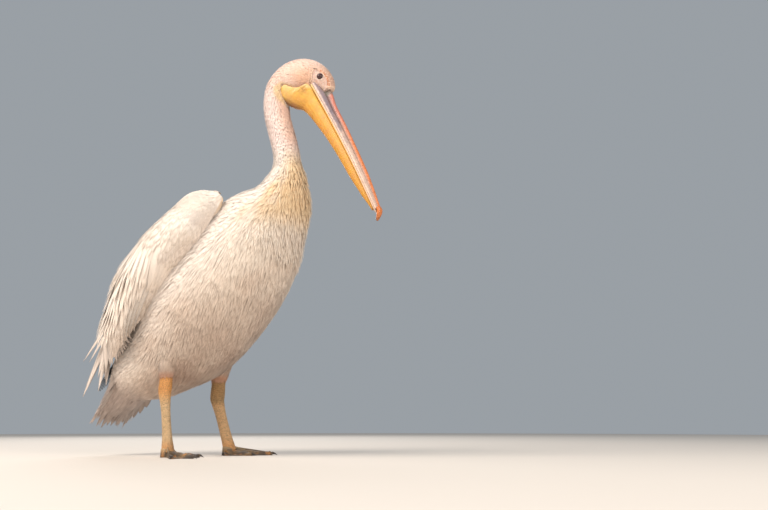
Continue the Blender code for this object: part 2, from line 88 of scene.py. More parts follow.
# The body's spine: x, z, half depth and half width of its section, then the depth of the coat there.
STATIONS = {
    "bill root": (3180, 8590, 150, 150, 6),
    "forehead": (3060, 8800, 250, 215, 10),
    "eyes": (2820, 8980, 360, 280, 14),
    "crown": (2500, 9100, 415, 335, 22),
    "hind crown": (2170, 9060, 430, 350, 26),
    "nape": (1880, 8840, 390, 335, 30),
    "neck top": (1770, 8500, 345, 310, 32),
    "neck bend": (1788, 8113, 319, 290, 34),
    "neck middle": (1915, 7667, 320, 300, 36),
    "neck low": (2046, 7209, 321, 315, 40),
    "neck foot": (2107, 6821, 345, 370, 45),
    "neck base": (2102, 6421, 481, 530, 50),
    "shoulders": (1938, 5851, 747, 850, 55),
    "breast": (1442, 5207, 1132, 1210, 55),
    "keel": (854, 4447, 1385, 1390, 55),
    "belly": (140, 3629, 1467, 1430, 55),
    "hips": (-515, 2895, 1385, 1260, 60),
    "rump": (-1150, 2320, 1060, 960, 65),
    "vent": (-1745, 1860, 720, 790, 70),
    "tail root": (-2080, 1520, 400, 600, 60),
}

# A folded wing: x and z of the axis it wraps, radius over the back and beside, half thickness, and the angles
# from the bird's back of its upper and lower edges.
WING = np.array((
    (1434, 5200, 1337, 1300, 175, 40, 60), (1339, 5114, 1360, 1330, 367, 28, 66),
    (1270, 5030, 1376, 1360, 518, 15, 69), (1080, 4770, 1389, 1420, 589, 7, 71),
    (850, 4450, 1395, 1460, 660, 3, 73), (150, 3650, 1605, 1490, 630, 2, 75),
    (-550, 2950, 1569, 1400, 580, 2, 77), (-1170, 2370, 1275, 1250, 460, 2, 79),
    (-1640, 1920, 985, 1140, 340, 3, 80), (-1940, 1600, 831, 1100, 230, 5, 78),
    (-2140, 1370, 580, 1070, 130, 12, 75), (-2320, 1160, 520, 1040, 45, 26, 70),
)) / (*[TENTHS] * 5, 1, 1)

# Vanes with free tips at the end of the right wing: where they start on it (its two parameters), where they
# end (x, y, z) and their half width.
TIP_VANES = np.array((
    (4.8, -0.66, -2620, -1000, 2155, 34), (5.0, -0.60, -2400, -1040, 2130, 38),
    (5.2, -0.52, -2500, -1040, 1330, 60), (5.3, -0.44, -2455, -1070, 1345, 50),
    (5.2, -0.46, -2330, -1050, 1640, 52), (5.4, -0.34, -2050, -1060, 1460, 60),
    (5.0, -0.24, -2080, -1070, 1760, 56), (5.2, -0.14, -1990, -880, 1590, 74),
    (5.0, -0.05, -2020, -900, 1740, 70), (5.2, 0.04, -1960, -940, 1890, 70),
    (5.0, 0.13, -1840, -960, 2030, 66), (5.2, 0.22, -1752, -1000, 2060, 66),
    (5.0, 0.31, -1670, -960, 2120, 66), (5.1, 0.36, -1610, -960, 2200, 66),
    (5.2, 0.42, -1570, -960, 2260, 66), (5.2, 0.48, -1500, -980, 2330, 64),
    (5.3, 0.54, -1440, -980, 2400, 64), (5.4, 0.60, -1390, -1000, 2480, 62),
    (5.3, 0.66, -1320, -1000, 2560, 62), (5.2, 0.72, -1260, -1000, 2660, 62),
    (5.0, 0.79, -1150, -1000, 2830, 60),
)) / (1, 1, *[TENTHS] * 4)

# The bare skin of the face: its edge seen from the side, x and z, from the gape up and round to the bill.
FACE_EDGE = np.array((
    (2765, 8780), (2815, 8830), (2828, 8930), (2850, 9030), (2890, 9090), (2980, 9050), (3070, 8965),
    (3150, 8860), (3190, 8745), (3195, 8620), (3150, 8500), (2900, 8480), (2765, 8700),
)) / TENTHS

HORN_LEVEL = 0.8525  # the bill's horn reaches up to here over the feathers and the face
EYE_CENTRE = (0.3010, 0.0180, 0.8895)
EYE_RADIUS = 0.0088
LID_RADIUS = 0.0060  # of the opening between the lids

BILL_ROOT = (0.2800, 0.0, 0.8740)
BILL_DROOP = math.radians(64.1)
BILL_LENGTH = 0.3800
BILL_BOW = 0.0060
BILL_WAY = np.array((math.cos(BILL_DROOP), 0, -math.sin(BILL_DROOP)))
BILL_UP = np.array((math.sin(BILL_DROOP), 0, math.cos(BILL_DROOP)))
# Along the bill, as a share of its length: half width, height over the gape line, depth of the lower jaw.
BILL_SECTIONS = np.array((
    (0.00, 215, 270, 60), (0.09, 215, 290, 70), (0.20, 200, 220, 75), (0.35, 185, 205, 75),
    (0.50, 175, 186, 70), (0.73, 160, 165, 60), (0.85, 140, 138, 50), (0.958, 100, 108, 42),
)) / (1, *[TENTHS] * 3)
# Half the upper bill's section, in shares of half width and height: ridge, groove, sloping plate, edge.
UPPER_OUTLINE = ((0.12, 1.00), (0.22, 0.90), (0.31, 0.55), (0.64, 0.44), (1.00, 0.20), (1.00, 0.02))
NAIL_LENGTH = 0.0290
NAIL_TURN = math.radians(44)
# The pouch along the bill: its top and depth under the jaw, and its half width.
POUCH_SECTIONS = np.array((
    (-0.104, -640, 190, 290), (-0.083, -560, 307, 306), (-0.056, -485, 390, 308),
    (-0.034, -405, 460, 306), (-0.017, -300, 540, 303), (-0.004, -110, 702, 330),
    (0.010, -60, 728, 322), (0.040, -65, 660, 290), (0.100, -70, 460, 240), (0.200, -70, 370, 190),
    (0.350, -70, 290, 160), (0.500, -65, 240, 145), (0.670, -60, 200, 125), (0.830, -50, 130, 95),
    (0.945, -46, 50, 60),
)) / (1, *[TENTHS] * 3)
POUCH_START, POUCH_END = -0.104, 0.945  # as shares of the bill's length

# Up a leg: level (0 the ankle, 1 the heel, 2 the knee), half width and half depth of the leg under its coat.
LEG_SECTIONS = np.array((
    (-0.10, 130, 155), (0.00, 125, 150), (0.12, 105, 140), (0.35, 91, 130), (0.65, 91, 130),
    (0.85, 107, 146), (1.00, 128, 168), (1.12, 138, 176), (1.28, 134, 170), (1.44, 128, 162),
    (1.54, 138, 175), (1.72, 185, 250), (2.00, 290, 410),
)) / (1, *[TENTHS] * 2)
THIGH_COAT = 0.004  # depth of the coat on a thigh
THIGH_BARE, THIGH_CLAD = 1.40, 1.50  # between these levels the coat sets in
ANKLE_HEIGHT = 0.0230
# Each toe: its angle to the inner side in degrees, its length, the height of its ridge and its claw's length.
TOES = ((-27, 0.1000, 0.0095, 0.0110), (0, 0.1080, 0.0105, 0.0130), (29, 0.0800, 0.0095, 0.0110),
        (88, 0.0460, 0.0075, 0.0090))
TOE_HALF_WIDTH = 0.0070
WEB_THICKNESS = 0.0022
WEB_HOLLOW = 0.16
HEEL_PAD = 0.0150

TAIL_ROOT = (-0.1780, 0.0, 0.2070)
TAIL_DROOP = math.radians(60)
TAIL_WAY = np.array((-math.cos(TAIL_DROOP), 0, -math.sin(TAIL_DROOP)))
TAIL_UP = np.array((-math.sin(TAIL_DROOP), 0, math.cos(TAIL_DROOP)))
TAIL_LENGTH = 0.1630
TAIL_BASE = 0.0480
TAIL_SPREAD = math.radians(21)
TAIL_ROUNDING = 0.36


class Side(Enum):
    """A side of the bird, with the sign of its Y."""

    RIGHT = -1
    LEFT = 1

    @property
    def word(self) -> str:
        """The side's name as the nodes spell it."""
        return self.name.lower()


class Hue(Enum):
    """Colours of the bird, linear red, green and blue."""

    WHITE = (0.87, 0.77, 0.69)
    CREAM = (0.88, 0.76, 0.63)
    TAN = (0.7, 0.53, 0.41)
    # SHADE is painted shade: the coat's under side, a patch low on the breast, the thighs
    SHADE = (0.42, 0.29, 0.22)
    ASH = (0.5, 0.39, 0.34)
    OCHRE = (0.84, 0.6, 0.34)
    PEACH = (0.86, 0.55, 0.36)
    RUST = (0.58, 0.27, 0.15)
    DUSK = (0.16, 0.09, 0.06)
    SOOT = (0.035, 0.03, 0.03)
    DOWN = (0.8, 0.7, 0.62)
    FLESH = (0.8, 0.58, 0.48)
    LID = (0.84, 0.66, 0.57)
    GOLD = (0.78, 0.43, 0.06)
    AMBER = (0.66, 0.32, 0.04)
    UMBER = (0.4, 0.19, 0.03)
    UMBRE = (0.3, 0.16, 0.11)
    BUTTER = (0.84, 0.6, 0.26)
    MAUVE = (0.3, 0.23, 0.25)
    SHELL = (0.78, 0.56, 0.44)
    HORN = (0.2, 0.185, 0.15)
    CORAL = (0.6, 0.2, 0.14)
    EMBER = (0.68, 0.2, 0.05)
    BROWN = (0.15, 0.06, 0.03)
    APRICOT = (0.8, 0.34, 0.09)
    STRAW = (0.78, 0.56, 0.32)
    OLIVE = (0.3, 0.19, 0.09)
    SLATE = (0.085, 0.065, 0.055)
    CLAW = (0.035, 0.026, 0.022)

    @property
    def rgb(self) -> Array:
        """The colour as an array."""
        return np.array(self.value)


# ---- sums on arrays
def through(table: Sequence, at: Array) -> Array:
    """Reads rows from the smooth curve through a table's rows, a Catmull-Rom spline.

    Args:
        table: rows of numbers.
        at: row numbers, which may lie between rows, in any shape.

    Returns:
        The rows, with the columns as the last axis.
    """
    rows = np.asarray(table, float)
    last = len(rows) - 1
    at = np.clip(np.asarray(at, float), 0, last)
    first = np.minimum(at.astype(int), last - 1)
    t = (at - first)[..., None]
    p0, p1, p2, p3 = (rows[np.clip(first + k, 0, last)] for k in (-1, 0, 1, 2))
    return 0.5 * (
        2 * p1 + (p2 - p0) * t + (2 * p0 - 5 * p1 + 4 * p2 - p3) * t**2 + (3 * p1 - p0 - 3 * p2 + p3) * t**3
    )


def keyed(table: Sequence, key: Array) -> Array:
    """Reads the smooth curve through a table at values of its first column, and gives the other columns."""
    rows = np.asarray(table, float)
    return np.moveaxis(through(rows, np.interp(key, rows[:, 0], np.arange(len(rows)))), -1, 0)[1:]


def unit(vectors: Array) -> Array:
    """The vectors at length one."""
    return vectors / np.maximum(np.linalg.norm(vectors, axis=-1, keepdims=True), 1e-12)


def dot(a: Array, b: Array) -> Array:
    """The inner product along the last axis."""
    return (a * b).sum(-1)


def ease(low: float, high: float, x: Array) -> Array:
    """Goes smoothly from 0 at low to 1 at high, as 3t^2 - 2t^3."""
    t = np.clip((np.asarray(x, float) - low) / (high - low), 0, 1)
    return t * t * (3 - 2 * t)


def hump(centre: float, reach: float, x: Array) -> Array:
    """A bell over x: 1 at the centre, near 0 beyond twice the reach."""
    return np.exp(-(((np.asarray(x, float) - centre) / reach) ** 2))


def mixed(colours: Array, hue: Hue, share: Array) -> Array:
    """The colours moved towards a hue by a share of the way."""
    share = np.clip(share, 0, 1)[..., None]
    return colours * (1 - share) + hue.rgb * share


def painted(points: Array, base: Hue, *layers: tuple[Hue, Array | float]) -> Array:
    """Colours for points: a first hue, moved towards each further one by its share of the way."""
    made = np.broadcast_to(base.rgb, points.shape).copy()
    for hue, share in layers:
        made = mixed(made, hue, share)
    return made


def turns(count: int) -> Array:
    """The angles of a full turn, evenly spaced, as a row."""
    return np.linspace(0, 2 * math.pi, count, endpoint=False)[None, :]


def signed_power(x: Array, exponent: Array | float) -> Array:
    """The power of the size of x, with its sign: x |x|^(p - 1)."""
    return np.sign(x) * np.abs(x) ** exponent


def on_map(share: Array) -> Array:
    """A share of the bake map's side, inside a margin of a fiftieth."""
    return 0.02 + 0.96 * share


def ripple(points: Array, size: float, seed: int, waves: int = 7) -> Array:
    """Smooth noise from -1 to 1: the mean of sine waves of about one size in random directions."""
    rng = np.random.default_rng(seed)
    ways = unit(rng.normal(size=(waves, 3))) * rng.uniform(0.7, 1.4, (waves, 1)) * (2 * math.pi / size)
    return np.sin(points @ ways.T + rng.uniform(0, 6.3, waves)).mean(-1) * 2


def edge_distance(x: Array, z: Array, outline: Sequence) -> Array:
    """How far points lie inside a closed outline, negative outside.

    The nearest distance to the outline's sides, with the sign of an even-odd crossing count.

    Args:
        x: first coordinates.
        z: second coordinates.
        outline: corners of the closed outline.

    Returns:
        Distances in metres.
    """
    near = np.full(np.shape(x), 1e9)
    inside = np.zeros(np.shape(x), bool)
    corners = np.asarray(outline)
    for (ax, az), (bx, bz) in zip(corners, np.roll(corners, -1, axis=0)):
        run = np.array((bx - ax, bz - az))
        t = np.clip(((x - ax) * run[0] + (z - az) * run[1]) / (run @ run), 0, 1)
        near = np.minimum(near, np.hypot(x - ax - t * run[0], z - az - t * run[1]))
        crossed = (az > z) != (bz > z)
        inside ^= crossed & (x < ax + (z - az) * run[0] / (run[1] if run[1] else 1e-12))
    return np.where(inside, near, -near)


# ---- meshes
@dataclass
class Shape:
    """Points and faces of one or more closed surfaces, with a colour and a bake place for each point."""

    points: Array
    faces: list[Array]
    colour: Array | None = None
    bake: Array | None = None
    crisp: Array | None = None  # True at points whose joining edges shade as corners

    def outward(self) -> "Shape":
        """Turns the faces round if they enclose a negative volume, the sum of their tetrahedra."""
        total = 0.0
        for faces in self.faces:
            a = self.points[faces[:, 0]]
            for k in range(1, faces.shape[1] - 1):
                total += dot(a, np.cross(self.points[faces[:, k]], self.points[faces[:, k + 1]])).sum()
        if total < 0:
            self.faces = [faces[:, ::-1] for faces in self.faces]
        return self


def joined(shapes: Sequence[Shape]) -> Shape:
    """Joins shapes.

    Args:
        shapes: the shapes.

    Returns:
        One shape with their points and faces, in their order.
    """
    starts = np.cumsum([0] + [len(shape.points) for shape in shapes])
    faces = [part + start for shape, start in zip(shapes, starts) for part in shape.faces]

    def stacked(name: str) -> Array | None:
        """One attribute of all the shapes, end to end."""
        parts = [getattr(shape, name) for shape in shapes]
        return None if any(part is None for part in parts) else np.concatenate(parts)

    return Shape(stacked("points"), faces, stacked("colour"), stacked("bake"), stacked("crisp"))


def loft(rings: Array, colour: Array | None = None) -> Shape:
    """A closed surface through rings, its two ends drawn in to points at the rings' middles.

    Args:
        rings: rings by points by three.
        colour: the same by three colours, or none.

    Returns:
        The shape, facing outwards.
    """
    rows, count, _ = rings.shape
    index = np.arange(rows * count).reshape(rows, count)
    near, far = index[:-1], index[1:]
    quads = np.stack([near, np.roll(near, -1, 1), np.roll(far, -1, 1), far], -1).reshape(-1, 4)
    first, last = rows * count, rows * count + 1
    start = np.stack([np.roll(index[0], -1), index[0], np.full(count, first)], -1)
    end = np.stack([index[-1], np.roll(index[-1], -1), np.full(count, last)], -1)
    points = np.concatenate([rings.reshape(-1, 3), rings[:1].mean(1), rings[-1:].mean(1)])
    if colour is not None:
        colour = np.concatenate([colour.reshape(-1, 3), colour[:1].mean(1), colour[-1:].mean(1)])
    return Shape(points, [quads, np.concatenate([start, end])], colour).outward()


def rounded(rings: Array, first: float, last: float) -> Array:
    """Rings with half an ellipsoid of smaller rings added at each end.

    Args:
        rings: rings by count by three.
        first: how far the first end reaches past the rings, or nothing.
        last: how far the other end reaches.

    Returns:
        The longer stack of rings.
    """

    def cap(edge: Array, inner: Array, reach: float) -> Array:
        """Rings of sqrt(1 - t^2) of the edge's size, a share t of the reach past it."""
        t = np.array((0.35, 0.6, 0.8, 0.94))[:, None, None]
        middle = edge.mean(0)
        run = unit(middle - inner.mean(0))
        return middle + (edge - middle) * np.sqrt(1 - t**2) + run * (reach * t)

    parts = [rings]
    if first > 0:
        parts.insert(0, cap(rings[0], rings[2], first)[::-1])
    if last > 0:
        parts.append(cap(rings[-1], rings[-3], last))
    return np.concatenate(parts)


def read(items: bpy_prop_collection, name: str, width: int = 1, kind: type = np.int32) -> Array:
    """One property of all the items, as a row or, with several numbers each, as a table."""
    made = np.zeros(len(items) * width, kind)
    items.foreach_get(name, made)
    return made if width == 1 else made.reshape(-1, width)


def shown(name: str, data: ID) -> Object:
    """A new object of some data, put in the scene."""
    obj = bpy.data.objects.new(name, data)
    bpy.context.scene.collection.objects.link(obj)
    return obj


def filled(node: Node, values: dict) -> Node:
    """The node, with values given to its sockets by name."""
    for name, value in values.items():
        node.inputs[name].default_value = value
    return node


@dataclass
class Workshop:
    """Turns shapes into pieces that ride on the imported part."""

    offset: Array = field(default_factory=lambda: np.zeros(3))

    def place(self) -> None:
        """Reads how far the bird's own frame is moved: the middle of an eye is known in both frames."""
        low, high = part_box("eye_left")
        self.offset = (np.array(low) + np.array(high)) / 2 - np.array(EYE_CENTRE)

    def mesh(self, name: str, shape: Shape) -> Mesh:
        """Makes a mesh, with colours, bake map and crisp edges where the shape has them.

        Args:
            name: the mesh's name.
            shape: the shape, in the bird's own frame.

        Returns:
            The mesh, moved into the part's frame.
        """
        mesh = bpy.data.meshes.new(name)
        mesh.vertices.add(len(shape.points))
        mesh.vertices.foreach_set("co", (shape.points + self.offset).astype(np.float32).ravel())
        corners = np.concatenate([faces.ravel() for faces in shape.faces]).astype(np.int32)
        sizes = np.concatenate([np.full(len(faces), faces.shape[1]) for faces in shape.faces])
        mesh.loops.add(len(corners))
        mesh.loops.foreach_set("vertex_index", corners)
        mesh.polygons.add(len(sizes))
        mesh.polygons.foreach_set("loop_start", (np.cumsum(sizes) - sizes).astype(np.int32))
        mesh.update(calc_edges=True)
        mesh.polygons.foreach_set("use_smooth", np.ones(len(sizes), bool))
        if shape.colour is not None:
            self.tint(mesh, shape.colour)
        if shape.bake is not None:
            layer = mesh.uv_layers.new(name="OFBake")
            layer.uv.foreach_set("vector", shape.bake[corners].astype(np.float32).ravel())
        if shape.crisp is not None:
            sharp = shape.crisp[read(mesh.edges, "vertices", 2)].all(1)
            mesh.attributes.new("sharp_edge", "BOOLEAN", "EDGE").data.foreach_set("value", sharp)
        return mesh

    def tint(self, mesh: Mesh, colour: Array) -> None:
        """Writes a colour for each point as the attribute that the materials read."""
        layer = mesh.color_attributes.new("Tint", "FLOAT_COLOR", "POINT")
        rgba = np.concatenate([np.clip(colour, 0, 1), np.ones((len(colour), 1))], 1)
        layer.data.foreach_set("color", rgba.astype(np.float32).ravel())

    def piece(self, name: str, shape: Shape, finish: "Finish",
              stands_for: Sequence[str] = ()) -> Object:
        """Makes a piece of the bird and puts it in the scene.

        Args:
            name: the piece's name.
            shape: its surface.
            finish: its material.
            stands_for: CAD nodes that it replaces.

        Returns:
            The new object.
        """
        obj = shown(name, self.mesh(name, shape))
        obj.data.materials.append(finish.material())
        return self.enter(obj, stands_for)

    def enter(self, obj: Object, stands_for: Sequence[str] = ()) -> Object:
        """Tells the frame what a piece rides on and the nodes it stands for, and reports it."""
        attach(obj, "root")
        if stands_for:
            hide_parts(*stands_for)
        LOG.info("%s: %d points, %d faces", obj.name, len(obj.data.vertices), len(obj.data.polygons))
        return obj


SHOP = Workshop()


# ---- finishes
class Grain(Enum):
    """Kinds of relief that a finish can have."""

    NOISE = "grains of no direction"
    CELLS = "small scales with creases between"
    LINES = "long streaks"


SHEEN_ROUGHNESS = 0.6
COAT_ROUGHNESS = 0.12
SOFT_COLOURS = (0.9, 0.45, 0.25)  # how far red, green and blue light go under the skin, as shares
SOFT_DEPTH = 0.003
CREASE = 0.22  # how wide the creases between scales are, as a share of a scale


@dataclass(frozen=True)
class Relief:
    """One layer of relief: its kind, grains per metre, depth of its bump and the painted shade in its hollows.
    """

    grain: Grain
    scale: float
    depth: float
    shade: float = 0.0
    stretch: tuple[float, float, float] = (1.0, 1.0, 1.0)


@dataclass(frozen=True)
class Finish:
    """A surface: its gloss and its layers of relief over the colour that each point carries."""

    name: str
    roughness: float
    layers: tuple[Relief, ...] = ()
    sheen: float = 0.0
    coat: float = 0.0
    soft: float = 0.0
    specular: float = 0.5

    def material(self) -> Material:
        """The finish as a material, made once."""
        made = bpy.data.materials.get(self.name)
        if made is not None:
            return made
        made = bpy.data.materials.new(self.name)
        made.use_nodes = True
        nodes, links = made.node_tree.nodes, made.node_tree.links
        shader = filled(nodes["Principled BSDF"], {
            "Roughness": self.roughness, "Specular IOR Level": self.specular,
            "Sheen Weight": self.sheen, "Sheen Roughness": SHEEN_ROUGHNESS,
            "Coat Weight": self.coat, "Coat Roughness": COAT_ROUGHNESS,
        })
        if self.soft:
            filled(shader, {"Subsurface Weight": self.soft, "Subsurface Radius": SOFT_COLOURS,
                            "Subsurface Scale": SOFT_DEPTH})
        tint = nodes.new("ShaderNodeAttribute")
        tint.attribute_name = "Tint"
        colour = tint.outputs["Color"]
        place = nodes.new("ShaderNodeTexCoord").outputs["Object"]
        normal = None
        for layer in self.layers:
            height = self.height(nodes, links, place, layer)
            # painted shade in the relief's hollows, a slight painted highlight on its rises
            if layer.shade:
                colour = self.shaded(nodes, links, colour, height, layer.shade)
            bump = filled(nodes.new("ShaderNodeBump"), {"Strength": 1.0, "Distance": layer.depth})
            links.new(height, bump.inputs["Height"])
            if normal is not None:
                links.new(normal, bump.inputs["Normal"])
            normal = bump.outputs["Normal"]
        links.new(colour, shader.inputs["Base Color"])
        if normal is not None:
            links.new(normal, shader.inputs["Normal"])
        return made

    def height(self, nodes: Nodes, links: NodeLinks, place: NodeSocket,
               layer: Relief) -> NodeSocket:
        """The height of one layer of relief, from 0 to 1.

        Args:
            nodes: the material's nodes.
            links: the material's links.
            place: socket with the place on the piece.
            layer: the layer.

        Returns:
            The socket that holds the height.
        """
        turn = filled(nodes.new("ShaderNodeMapping"), {"Scale": layer.stretch})
        links.new(place, turn.inputs["Vector"])
        if layer.grain is Grain.CELLS:
            cells = filled(nodes.new("ShaderNodeTexVoronoi"), {"Scale": layer.scale})
            cells.feature = "DISTANCE_TO_EDGE"
            links.new(turn.outputs["Vector"], cells.inputs["Vector"])
            ramp = filled(nodes.new("ShaderNodeMapRange"), {"From Max": CREASE})
            ramp.interpolation_type = "SMOOTHSTEP"
            links.new(cells.outputs["Distance"], ramp.inputs["Value"])
            return ramp.outputs["Result"]
        detail = 4.0 if layer.grain is Grain.NOISE else 2.0
        noise = filled(nodes.new("ShaderNodeTexNoise"), {"Scale": layer.scale, "Detail": detail})
        links.new(turn.outputs["Vector"], noise.inputs["Vector"])
        return noise.outputs["Fac"]

    def shaded(self, nodes: Nodes, links: NodeLinks, colour: NodeSocket,
               height: NodeSocket, shade: float) -> NodeSocket:
        """Painted shade and highlight: darker where the height is low, a little lighter where it is high.

        Args:
            nodes: the material's nodes.
            links: the material's links.
            colour: socket with the colour.
            height: socket with the height.
            shade: by what share it is darkened.

        Returns:
            The socket that holds the shaded colour.
        """
        ramp = filled(nodes.new("ShaderNodeMapRange"), {
            "From Min": 0.25, "From Max": 0.75, "To Min": 1.0 - shade, "To Max": 1.0 + shade * 0.35})
        links.new(height, ramp.inputs["Value"])
        scale = nodes.new("ShaderNodeVectorMath")
        scale.operation = "SCALE"
        links.new(colour, scale.inputs[0])
        links.new(ramp.outputs["Result"], scale.inputs["Scale"])
        return scale.outputs["Vector"]


PLUMAGE = Finish("plumage", 0.78, (Relief(Grain.NOISE, 700, 0.0002, 0.1),), sheen=0.25, specular=0.25)
VANE = Finish("vanes", 0.7, (Relief(Grain.LINES, 900, 0.00025, 0.1, (1.0, 1.0, 0.06)),), sheen=0.2,
              specular=0.3)
DOWN = Finish("down under the feathers", 0.9, (Relief(Grain.NOISE, 400, 0.0006, 0.15),), specular=0.1)
FACE_SKIN = Finish("bare face", 0.55, (
    Relief(Grain.CELLS, 520, 0.0005, 0.16), Relief(Grain.NOISE, 160, 0.0008, 0.14)), soft=0.15)
POUCH_SKIN = Finish("pouch skin", 0.42, (
    Relief(Grain.NOISE, 900, 0.0002, 0.05), Relief(Grain.LINES, 190, 0.0004, 0.1, (1.0, 1.6, 0.35)),
    Relief(Grain.NOISE, 60, 0.0005, 0.08)), soft=0.2)
SCALES = Finish("leg scales", 0.55, (
    Relief(Grain.CELLS, 430, 0.0008, 0.42), Relief(Grain.NOISE, 150, 0.0003, 0.15)))
WEBS = Finish("webbed foot", 0.6, (
    Relief(Grain.CELLS, 330, 0.0007, 0.35), Relief(Grain.NOISE, 90, 0.0006, 0.35)))
HORN = Finish("bill horn", 0.38, (
    Relief(Grain.LINES, 420, 0.00025, 0.16, (1.0, 1.0, 0.1)),
    Relief(Grain.NOISE, 130, 0.0003, 0.12)), coat=0.15)
NAIL = Finish("bill nail", 0.32, (Relief(Grain.NOISE, 260, 0.0003, 0.2),), coat=0.25)
CLAW = Finish("claws", 0.4, (Relief(Grain.NOISE, 500, 0.0002, 0.2),))
EYE = Finish("eye", 0.06, (), coat=1.0)


# ---- surfaces that feathers are combed over
class Surface:
    """A surface with two parameters, in the outline of the plumage."""

    inward = 1.0
    run = 1.0  # -1 where the coat lies against the first parameter
    reach = (-99.0, 99.0)  # bounds of the second parameter

    def point(self, u: Array, v: Array) -> Array:
        """The points of the outline at pairs of parameters.

        Args:
            u: first parameters, along the surface.
            v: second parameters, round or across it.

        Returns:
            The points, with x, y and z as the last axis.
        """
        raise NotImplementedError

    def frame(self, u: Array, v: Array) -> tuple[Array, Array, Array, Array]:
        """The point, the two slopes and the outward normal, from differences over a small step."""
        step = 2e-3
        du = (self.point(u + step, v) - self.point(u - step, v)) / (2 * step)
        dv = (self.point(u, v + step) - self.point(u, v - step)) / (2 * step)
        return self.point(u, v), du, dv, unit(np.cross(du, dv)) * -self.inward

    def depth(self, u: Array, v: Array) -> Array:
        """How deep the coat is."""
        raise NotImplementedError

    def unwrapped(self, u: Array, v: Array) -> Array:
        """Where a point lies on the bake map."""
        raise NotImplementedError


@dataclass
class Spine:
    """Sections square to a smooth curve in the plane Y = 0: the back of each faces up and to the rear."""

    table: Sequence
    blur: float = 0.01  # over how many rows the curve's direction is averaged

    def __post_init__(self) -> None:
        """Works out the curve's direction once, as a blurred average."""
        self.fine = np.linspace(0, len(self.table) - 1, 400)
        along = unit(np.gradient(through(self.table, self.fine)[:, :2], axis=0))
        self.along = unit(np.exp(-0.5 * ((self.fine[:, None] - self.fine) / self.blur) ** 2) @ along)

    def way(self, at: Array) -> Array:
        """The curve's direction, x and z."""
        return np.stack([np.interp(at, self.fine, self.along[:, i]) for i in (0, 1)], -1)

    def back(self, at: Array) -> Array:
        """The way the back faces, x and z: the direction turned by a right angle."""
        way = self.way(at)
        return np.stack([way[..., 1], -way[..., 0]], -1)

    def nearest(self, points: Array, at: Array, place: Array, weight: float = 0.0) -> tuple[Array, Array]:
        """Finds the section that points lie in.

        Args:
            points: points, x and z as the last axis.
            at: the rows to choose from.
            place: the middles of their sections, x and z.
            weight: how much a section's distance counts beside the distance from its plane.

        Returns:
            The number of the chosen row for each point, and how far the point misses it.
        """
        off = points[..., None, :] - place
        miss = np.abs(np.einsum("...kc,kc->...k", off, self.way(at)))
        if weight:
            miss = miss + weight * np.linalg.norm(off, axis=-1)
        return miss.argmin(-1), miss.min(-1)


class Body(Surface):
    """The head, neck and trunk: ellipses square to the spine. v is the angle from the back to the left."""

    stretch = 0.04  # metres to a unit of u past the last station

    def __init__(self) -> None:
        """Reads the stations."""
        self.table = np.array(list(STATIONS.values())) / TENTHS
        self.spine = Spine(self.table)
        self.last = len(self.table) - 1

    def at(self, name: str) -> int:
        """The number of a named station."""
        return list(STATIONS).index(name)

    def point(self, u: Array, v: Array, inset: Array | float = 0.0) -> Array:
        """The point on the section at u: its middle, plus depth cos v towards the back, width sin v sideways.

        Past the last station the middle runs on along the tail, while the depth shrinks and the width grows.

        Args:
            u: places along the spine, as station numbers.
            v: angles round the section.
            inset: how far inside the outline the points lie.

        Returns:
            The points, with x, y and z as the last axis.
        """
        u, v = np.broadcast_arrays(np.asarray(u, float), np.asarray(v, float))
        inside = np.minimum(u, self.last)
        x, z, depth, width, _ = np.moveaxis(through(self.table, inside), -1, 0)
        back = self.spine.back(inside)
        up = (depth - inset) * np.cos(v)
        made = np.stack([x + back[..., 0] * up, (width - inset) * np.sin(v), z + back[..., 1] * up], -1)
        past = self.stretch * np.maximum(u - self.last, 0)
        if np.any(past > 0):
            thin = 0.9 * ease(-0.025, 0.085, past) - 0.9 * ease(-0.025, 0.085, 0.0)
            thin = thin * (1 - 0.45 * np.maximum(np.cos(v), 0))
            slim = np.stack([back[..., 0] * up, 0 * up, back[..., 1] * up], -1) * thin[..., None]
            made = made + TAIL_WAY * past[..., None] - slim + ACROSS * (0.1 * past * np.sin(v))[..., None]
        return made

    def depth(self, u: Array, v: Array) -> Array:
        """The coat's depth from the stations."""
        return through(self.table, u)[..., 4]

    def within(self, points: Array, margin: float) -> Array:
        """Tests in the section nearest to each point whether it lies inside the body.

        Args:
            points: the points.
            margin: how far inside they have to lie.

        Returns:
            True for each point that does.
        """
        fine = np.linspace(0, self.last, 240)
        rows = through(self.table, fine)
        flat = points[:, [0, 2]]
        best, _ = self.spine.nearest(flat, fine, rows[:, :2], 0.2)
        up = dot(flat - rows[best, :2], self.spine.back(fine[best]))
        return (up / (rows[best, 2] - margin)) ** 2 + (points[:, 1] / (rows[best, 3] - margin)) ** 2 < 1

    def unwrapped(self, u: Array, v: Array) -> Array:
        """Along the spine by round the section, the seam at the back."""
        return on_map(np.stack([np.minimum(u / self.last, 1), v / (2 * math.pi) % 1.0], -1))


